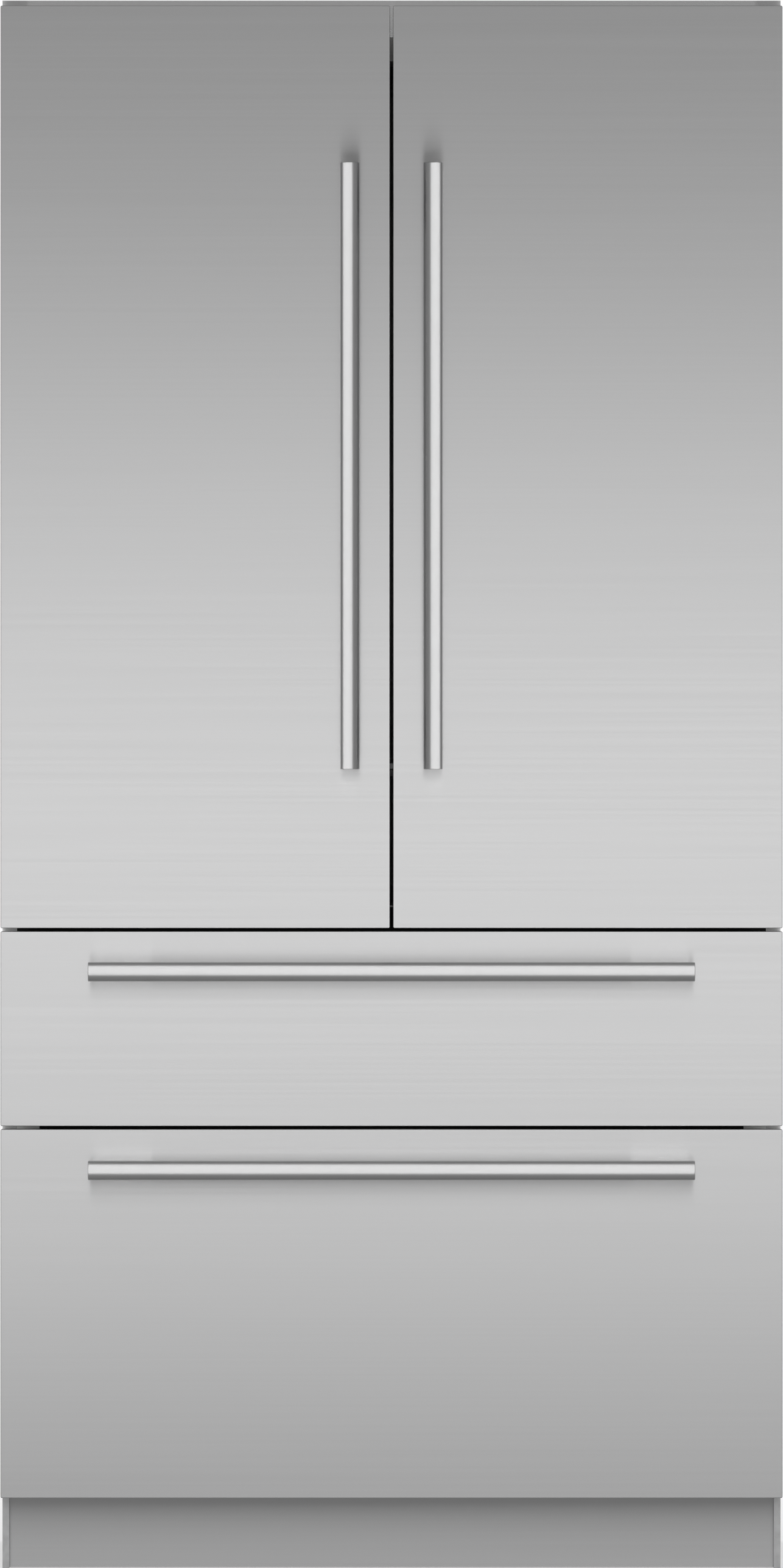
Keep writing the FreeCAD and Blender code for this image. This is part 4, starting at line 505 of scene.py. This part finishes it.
def corners_of(node):
    """All corner points of a solid as one array."""
    mesh = part[node].data
    points = np.empty(len(mesh.vertices) * 3)
    mesh.vertices.foreach_get("co", points)
    return points.reshape(-1, 3)


# %% [markdown]
# The corners of the glass are read once. A pane has two heights, its underside and its top, so every second
# height is a top, and the rail stands a little above it.

# %% Shelf rails
RAIL_DEPTH, RAIL_HEIGHT, RAIL_CORNER, RAIL_RISE = 0.0055, 0.0105, 0.002, 0.0022
RAIL_END_GAP = 0.0005  # each rail ends this far inside the sides of its pane
SAME_EDGE = 1e-5
TENTH_MM = 4  # decimals of a length in metres that is rounded to tenths of a millimetre

glass = corners_of("glass_shelves")
glass_front = glass[:, 1].min()
edge = np.round(glass[glass[:, 1] < glass_front + SAME_EDGE], TENTH_MM)
rail_section, _ = rounded_loop(RAIL_DEPTH / 2, RAIL_HEIGHT / 2, RAIL_CORNER, per_corner=6)
rail_y = glass_front - RAIL_DEPTH / 2
past_edge = edge[:, 0].min() - glass[:, 0].min() - RAIL_END_GAP
rails = []
for top in np.unique(edge[:, 2])[1::2]:
    rail_z = top + RAIL_RISE - RAIL_HEIGHT / 2
    ends = np.unique(edge[edge[:, 2] == top][:, 0]).reshape(-1, 2)
    for first, last in ends:
        rails.append(rail_surface(rail_section, first - past_edge, last + past_edge, rail_y, rail_z))
piece("shelf_front_rails", rails, "fin_aluminium", "cabinet")
print("rails:", len(rails), "past the straight edge:", round(float(past_edge), TENTH_MM))

# %% [markdown]
# ## Bands on the door bins
# Each clear bin carries a thin metal band near its rim, so that bottles lean on something firm. The band
# follows the outside of the bin: away from the door along one side, round the corner, across, and back. Its
# path is a U of points seen from above, each with its outward normal.

# %% The path of a band
BAND_ROUND, BAND_STEPS = 0.018, 10


def bin_path(left, right, back, front):
    """A U around a bin seen from above, with quarter circles at its front corners, and its normals."""
    turn = np.linspace(0, np.pi / 2, BAND_STEPS)
    low_corner = np.stack([left + BAND_ROUND - BAND_ROUND * np.cos(turn),
                           front - BAND_ROUND + BAND_ROUND * np.sin(turn)], axis=-1)
    low_normal = np.stack([-np.cos(turn), np.sin(turn)], axis=-1)
    high_corner = (low_corner * (-1, 1) + (left + right, 0))[::-1]
    high_normal = (low_normal * (-1, 1))[::-1]
    path = np.concatenate([[(left, back)], low_corner, high_corner, [(right, back)]])
    normal = np.concatenate([[(-1, 0)], low_normal, high_normal, [(1, 0)]])
    return path, normal


# %% [markdown]
# A copy of the bin's wall could be thickened into a band. A flat rounded rectangle that stands on the path
# also gives the band soft edges, and its ends are closed as those of the brackets are.

# %% The shape of a band
BAND_THICK, BAND_HEIGHT = 0.0016, 0.016
FLAT_STEPS = 5
EDGE_SHARE = 0.45  # the rounding of a flat section's edges, as a share of its thickness


def flat_section(thick, height):
    """The flat rounded rectangle that bands and strips have as their section."""
    loop, _ = rounded_loop(thick / 2, height / 2, thick * EDGE_SHARE, FLAT_STEPS)
    return loop


def band_surface(path, normal, middle_z):
    """path + outwards * normal in plan and height in Z, for each point of the band's section."""
    section = flat_section(BAND_THICK, BAND_HEIGHT)
    plan = path[:, None, :] + (section[:, 0] + BAND_THICK / 2)[None, :, None] * normal[:, None, :]
    height = np.broadcast_to(section[:, 1] + middle_z, plan.shape[:2])
    return closed_ends(np.concatenate([plan, height[..., None]], axis=-1))


# %% [markdown]
# All bins of one door have the same outline, so one path serves them all. A bin has three heights, its
# underside, its floor and its rim, so every third height is a rim.

# %% Bin bands
BAND_BELOW_RIM = 0.012  # from the rim to the middle of the band
BAND_BACK = 0.012  # the band stops this far from the door

for side in ("left", "right"):
    low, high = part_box(side + "_door_bins")
    rims = np.unique(np.round(corners_of(side + "_door_bins")[:, 2], TENTH_MM))[2::3]
    path, normal = bin_path(low[0], high[0], low[1] + BAND_BACK, high[1])
    bands = [band_surface(path, normal, rim - BAND_BELOW_RIM) for rim in rims]
    piece(side + "_bin_bands", bands, "fin_aluminium", side + "_door")
    print("rims:", rims.tolist())

# %% [markdown]
# ## Strips on the crispers
# A crisper is pulled by a firm strip along the top of its clear front. The strip is thin, because the
# crisper slides close to the mullion flap on the left door. The front leans back towards its foot, so the
# strip leans with it. The lean could be copied from the CAD sizes, but the mesh itself holds it: of all
# corners below the rim, the one with the least way back for its drop lies on the front face and gives the
# lean.

# %% Crisper strips
STRIP_THICK, STRIP_HEIGHT, STRIP_BELOW_RIM, STRIP_INSET = 0.0014, 0.022, 0.004, 0.002
strip_section = flat_section(STRIP_THICK, STRIP_HEIGHT)

for side in ("left", "right"):
    points = corners_of("crisper_" + side)
    front_y, rim = points[:, 1].min(), points[:, 2].max()
    edge_x = points[points[:, 1] < front_y + SAME_EDGE, 0]
    below = points[points[:, 2] < rim - STRIP_HEIGHT]
    lean = ((below[:, 1] - front_y) / (rim - below[:, 2])).min()
    drop = STRIP_BELOW_RIM + STRIP_HEIGHT / 2
    strip = rail_surface(strip_section, edge_x.min() + STRIP_INSET, edge_x.max() - STRIP_INSET,
                         front_y + lean * drop - STRIP_THICK / 2, rim - drop, lean)
    piece(side + "_crisper_strip", [strip], "fin_aluminium", side + "_crisper")
    print("lean of the front:", round(float(lean), TENTH_MM))

# %% [markdown]
# ## Screws
# A pan head is a dome with a small hollow in the middle for the driver. It could be cut out of a squashed
# ball, but it is again a turned profile: from the middle of the underside over the dome into the hollow.
# One head is made as an array, turned to the wall it sits on, and added to every place.

# %% Screw heads
HEAD_RADIUS, HEAD_HEIGHT, SOCKET_RADIUS = 0.0045, 0.0022, 0.0018
DOME_ACROSS, DOME_UP = 0.6, 0.8  # powers below 1 make the dome fuller than a quarter of an ellipse
HOLLOW_RADIUS, HOLLOW_EDGE, HOLLOW_FLOOR = 0.95, 0.45, 0.4  # shares of the socket radius and head height
DOME_STEPS, HEAD_STEPS = 7, 24


def head_surface(outward):
    """A pan head turned about its axis, which points along z, -y or y."""
    turn = np.linspace(0, np.pi / 2, DOME_STEPS)
    dome = np.stack([SOCKET_RADIUS + (HEAD_RADIUS - SOCKET_RADIUS) * np.cos(turn) ** DOME_ACROSS,
                     HEAD_HEIGHT * np.sin(turn) ** DOME_UP], axis=-1)
    hollow = [(SOCKET_RADIUS * HOLLOW_RADIUS, HEAD_HEIGHT * HOLLOW_EDGE), (0, HEAD_HEIGHT * HOLLOW_FLOOR)]
    head = turned(np.concatenate([[(0, 0)], dome, hollow]), HEAD_STEPS)
    if outward == "z":
        return head
    if outward == "-y":
        return head[..., [0, 2, 1]] * (1, -1, 1)
    return head[::-1][..., [0, 2, 1]]


def screws(name, places, outward, body):
    """One head at every place, as a single piece."""
    head = head_surface(outward)
    return piece(name, [head + np.array(place) for place in places], "zinc_steel", body)


# %% [markdown]
# The upper hinges are screwed to the face of the cabinet, the anti-tip angle to its top and the vented
# cover to its back. The cover lies a little deeper than the back sheet, so that its screws stay clear of
# the wall. All places follow from the boxes of the solids there.

# %% Put the screws in place
HINGE_PLATE, HINGE_LEG_WIDTH = 0.005, 0.019
HINGE_SCREW_DROPS = (0.022, 0.046)  # below the top of the upper hinges
TIP_SHEET, TIP_SCREWS, TIP_SCREW_REACH, TIP_SCREW_BACK = 0.003, 4, 0.9, 0.016
COVER_EDGE, COVER_COLUMNS = 0.012, 5

hinge_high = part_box("door_hinges")[1]
leg_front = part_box("side_trims")[0][1] - HINGE_PLATE
leg_middle = hinge_high[0] - HINGE_LEG_WIDTH / 2
hinge_places = [(side * leg_middle, leg_front, hinge_high[2] - drop)
                for side in (-1, 1) for drop in HINGE_SCREW_DROPS]
screws("hinge_screws", hinge_places, "-y", "cabinet")

tip_low, tip_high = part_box("anti_tip_bracket")
tip_x = np.linspace(tip_low[0], tip_high[0], TIP_SCREWS) * TIP_SCREW_REACH
tip_places = [(x, tip_low[1] + TIP_SCREW_BACK, tip_low[2] + TIP_SHEET) for x in tip_x]
screws("anti_tip_screws", tip_places, "z", "cabinet")

cover_low, cover_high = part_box("machine_cover")
cover_x = np.linspace(cover_low[0] + COVER_EDGE, cover_high[0] - COVER_EDGE, COVER_COLUMNS)
cover_rows = (cover_low[2] + COVER_EDGE, cover_high[2] - COVER_EDGE)
cover_places = [(x, cover_high[1], z) for x in cover_x for z in cover_rows]
screws("cover_screws", cover_places, "y", "cabinet")

# %% [markdown]
# ## The floor
# The photo shows the front square on from far away, filling the frame, before a white ground. A pale floor
# takes the shadow. A stronger fill light could make it white too, but it would also lighten the gaps in the
# front. So the floor glows a little, but only for rays from the camera, off shiny surfaces and through
# glass. The Light Path node tells these rays from others and keeps the glow out of the diffuse light.

# %% Rays that see the glow
def seen_share(tree, share):
    """The share for rays from the camera, off shiny surfaces and through glass, and 0 for all others."""
    path = tree.nodes.new("ShaderNodeLightPath")
    seen_by = path.outputs["Is Camera Ray"]
    for kind in ("Is Glossy Ray", "Is Transmission Ray"):
        either = tree.nodes.new("ShaderNodeMath")
        either.operation = "MAXIMUM"
        tree.links.new(seen_by, either.inputs[0])
        tree.links.new(path.outputs[kind], either.inputs[1])
        seen_by = either.outputs[0]
    times = tree.nodes.new("ShaderNodeMath")
    times.operation = "MULTIPLY"
    times.inputs[1].default_value = share
    tree.links.new(seen_by, times.inputs[0])
    return times.outputs[0]


# %% [markdown]
# The floor itself is one large square face.

# %% Floor
FLOOR_REACH, FLOOR_LIFT = 60.0, 0.33
WHITE = (1, 1, 1, 1)


def studio_mesh(name, points, faces, material):
    """A mesh object of the studio from its corners and faces."""
    mesh = bpy.data.meshes.new(name)
    mesh.from_pydata(points.tolist(), [], faces)
    mesh.materials.append(material)
    made = bpy.data.objects.new(name, mesh)
    bpy.context.scene.collection.objects.link(made)
    return made


floor_finish = finish("pale_floor", (0.8, 0.8, 0.8), 0.7, drift=0.01, relief=0.0, Specular_IOR_Level=0.0,
                      Emission_Color=WHITE)
floor_tree = floor_finish.node_tree
floor_glow = floor_tree.nodes["Principled BSDF"].inputs["Emission Strength"]
floor_tree.links.new(seen_share(floor_tree, FLOOR_LIFT), floor_glow)
floor_finish.cycles.emission_sampling = "NONE"
floor_corners = FLOOR_REACH * np.array([(-1, -1, 0), (1, -1, 0), (1, 1, 0), (-1, 1, 0)])
floor = studio_mesh("floor", floor_corners, [(0, 1, 2, 3)], floor_finish)
print("floor:", 2 * FLOOR_REACH, "m wide")

# %% [markdown]
# ## The world
# The world is white for the same rays as the floor's glow, and a plain fill light for all others. One white
# world for all rays would be simpler, but then the fill light couldn't be set by itself.

# %% World
FILL = 0.75

world = bpy.data.worlds.new("studio_world")
bpy.context.scene.world = world
world.use_nodes = True
sky = world.node_tree
sky.nodes.clear()
seen = add_node(sky, "ShaderNodeBackground", Color=WHITE, Strength=1.0)
fill = add_node(sky, "ShaderNodeBackground", Color=WHITE, Strength=FILL)
choose = sky.nodes.new("ShaderNodeMixShader")
out = sky.nodes.new("ShaderNodeOutputWorld")
sky.links.new(seen_share(sky, 1.0), choose.inputs["Fac"])
sky.links.new(fill.outputs["Background"], choose.inputs[1])
sky.links.new(seen.outputs["Background"], choose.inputs[2])
sky.links.new(choose.outputs["Shader"], out.inputs["Surface"])
print("fill light:", FILL)

# %% [markdown]
# ## The grey tent
# Steel shows what stands around it. A photographer hangs grey cloth around polished steel and lights it
# with one wide soft lamp, so that the sheet reads as a smooth fall of light. A grey world could stand in
# for the cloth, but our world is already white. So the tent is a large box that only reflections see. It
# stays out of the camera's sight, casts no shadow and adds no diffuse light.

# %% Tent
TENT_REACH, TENT_HEIGHT, TENT_GREY = 7.0, 7.0, 0.3
TENT_FOOT = 0.0005  # just above the floor
TENT_WALLS = [(0, 1, 3, 2), (4, 6, 7, 5), (0, 4, 5, 1), (2, 3, 7, 6), (0, 2, 6, 4), (1, 5, 7, 3)]

cloth = bpy.data.materials.new("grey_cloth")
cloth.use_nodes = True
cloth.node_tree.nodes.clear()
cloth_colour = (TENT_GREY, TENT_GREY, TENT_GREY, 1)
glow = add_node(cloth.node_tree, "ShaderNodeEmission", Color=cloth_colour, Strength=1.0)
cloth_out = cloth.node_tree.nodes.new("ShaderNodeOutputMaterial")
cloth.node_tree.links.new(glow.outputs["Emission"], cloth_out.inputs["Surface"])
cloth.cycles.emission_sampling = "NONE"

sides = (-TENT_REACH, TENT_REACH)
tent_axes = np.meshgrid(sides, sides, (TENT_FOOT, TENT_HEIGHT), indexing="ij")
tent = studio_mesh("tent", np.stack(tent_axes, axis=-1).reshape(-1, 3), TENT_WALLS, cloth)
tent.visible_camera = tent.visible_diffuse = tent.visible_transmission = False
tent.visible_volume_scatter = tent.visible_shadow = False
print("tent:", 2 * TENT_REACH, "m wide and", TENT_HEIGHT, "m high")

# %% [markdown]
# ## The lamps
# Two helpers serve all lamps. One makes a collection for light linking, which tells a lamp what it lights.
# The other puts a lamp into the scene and hides it from the camera.

# %% Helpers for lamps
def link_group(name, objects, state):
    """A collection for light linking that names only these objects (INCLUDE), or all others (EXCLUDE)."""
    group = bpy.data.collections.new(name)
    for item in objects:
        group.objects.link(item)
    for entry in group.collection_objects:
        entry.light_linking.link_state = state
    return group


def place_lamp(name, data, place, turn):
    """A lamp object that the camera doesn't see."""
    lamp = bpy.data.objects.new(name, data)
    lamp.location, lamp.rotation_euler = place, turn
    lamp.visible_camera = False
    bpy.context.scene.collection.objects.link(lamp)
    return lamp


# %% [markdown]
# The main lamp is a wide soft box in front of the refrigerator, at the height where the photo's steel is
# brightest. A glowing plane could stand in for it, but an area lamp gives less noise. Light linking keeps
# it off the handles, which have lights of their own, and off the floor. An area lamp of power P glows with
# P / (pi * area), so its power follows from the glow we want.

# %% Soft box
FRONT_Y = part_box("left_door_skin")[0][1]
BOX_DISTANCE, BOX_HEIGHT, BOX_SIZE = 1.5, 0.95, (3.4, 1.3)
BOX_GLOW = 1.158

box_data = bpy.data.lights.new("soft_box", "AREA")
box_data.shape = "RECTANGLE"
box_data.size, box_data.size_y = BOX_SIZE
box_data.energy = BOX_GLOW * math.pi * BOX_SIZE[0] * BOX_SIZE[1]
box_place = (0, FRONT_Y - BOX_DISTANCE, BOX_HEIGHT)
soft_box = place_lamp("soft_box", box_data, box_place, (math.pi / 2, 0, 0))
not_lit = link_group("not_by_soft_box", [*handles.values(), floor], "EXCLUDE")
soft_box.light_linking.receiver_collection = not_lit
print("soft box:", round(box_data.energy, 2), "W")

# %% [markdown]
# In the photo each bar is bright on its outer or upper side. So each upright bar has a broad light from its
# own side, and the two level bars share one from above. Large area lamps could do that, but a sun lamp with
# a wide angle lights a long bar in the same way from end to end. Its strength is its glow times pi times
# the squared sine of half its angle. Light linking keeps these lights on the bars alone. So wide a sun also
# shines from below, which is why the floor is kept from blocking it.

# %% Bar lights
BAR_GLOW, BAR_ANGLE, BAR_SIDE, BAR_RISE = 1.12, 119, 30, 19
SUN_PLACE = (0, -3, 3)  # a sun shines from a direction, so its place doesn't matter
BAR_LIGHTS = (("left_bar_light", ["left_door"], -BAR_SIDE, 0),
              ("right_bar_light", ["right_door"], BAR_SIDE, 0),
              ("level_bar_light", ["upper_drawer", "lower_drawer"], 0, BAR_RISE))

no_floor = link_group("all_but_floor", [floor], "EXCLUDE")
for name, fronts, azimuth, rise in BAR_LIGHTS:
    data = bpy.data.lights.new(name, "SUN")
    data.angle = math.radians(BAR_ANGLE)
    data.energy = BAR_GLOW * math.pi * math.sin(data.angle / 2) ** 2
    data.cycles.use_multiple_importance_sampling = False  # the tent hides a sun from reflected rays
    lamp = place_lamp(name, data, SUN_PLACE, (math.radians(90 - rise), 0, math.radians(azimuth)))
    lit = link_group("by_" + name, [handles[front] for front in fronts], "INCLUDE")
    lamp.light_linking.receiver_collection = lit
    lamp.light_linking.blocker_collection = no_floor

# %% [markdown]
# ## The camera
# The edges of the doors and both ends of the object lie on one scale in the photo, so the camera is far
# away and square to the front, at about half its height. An orthographic camera would come close, but a
# real lens always keeps a trace of perspective. So we use a long lens, which follows from the distance and
# the height of the frame.

# %% Camera
CAMERA_DISTANCE, CAMERA_HEIGHT = 15.0, 1.0693
SENSOR, FRAME_HEIGHT = 36.0, 2.12618
FAR_END = 200

camera_data = bpy.data.cameras.new("camera")
camera_data.sensor_width = SENSOR
camera_data.lens = SENSOR * CAMERA_DISTANCE / FRAME_HEIGHT
camera_data.clip_end = FAR_END
camera = bpy.data.objects.new("camera", camera_data)
camera.location = (0, FRONT_Y - CAMERA_DISTANCE, CAMERA_HEIGHT)
camera.rotation_euler = (math.pi / 2, 0, 0)
bpy.context.scene.collection.objects.link(camera)
bpy.context.scene.camera = camera
bpy.context.scene.view_settings.view_transform = "Standard"
print("lens:", round(camera_data.lens, 2))
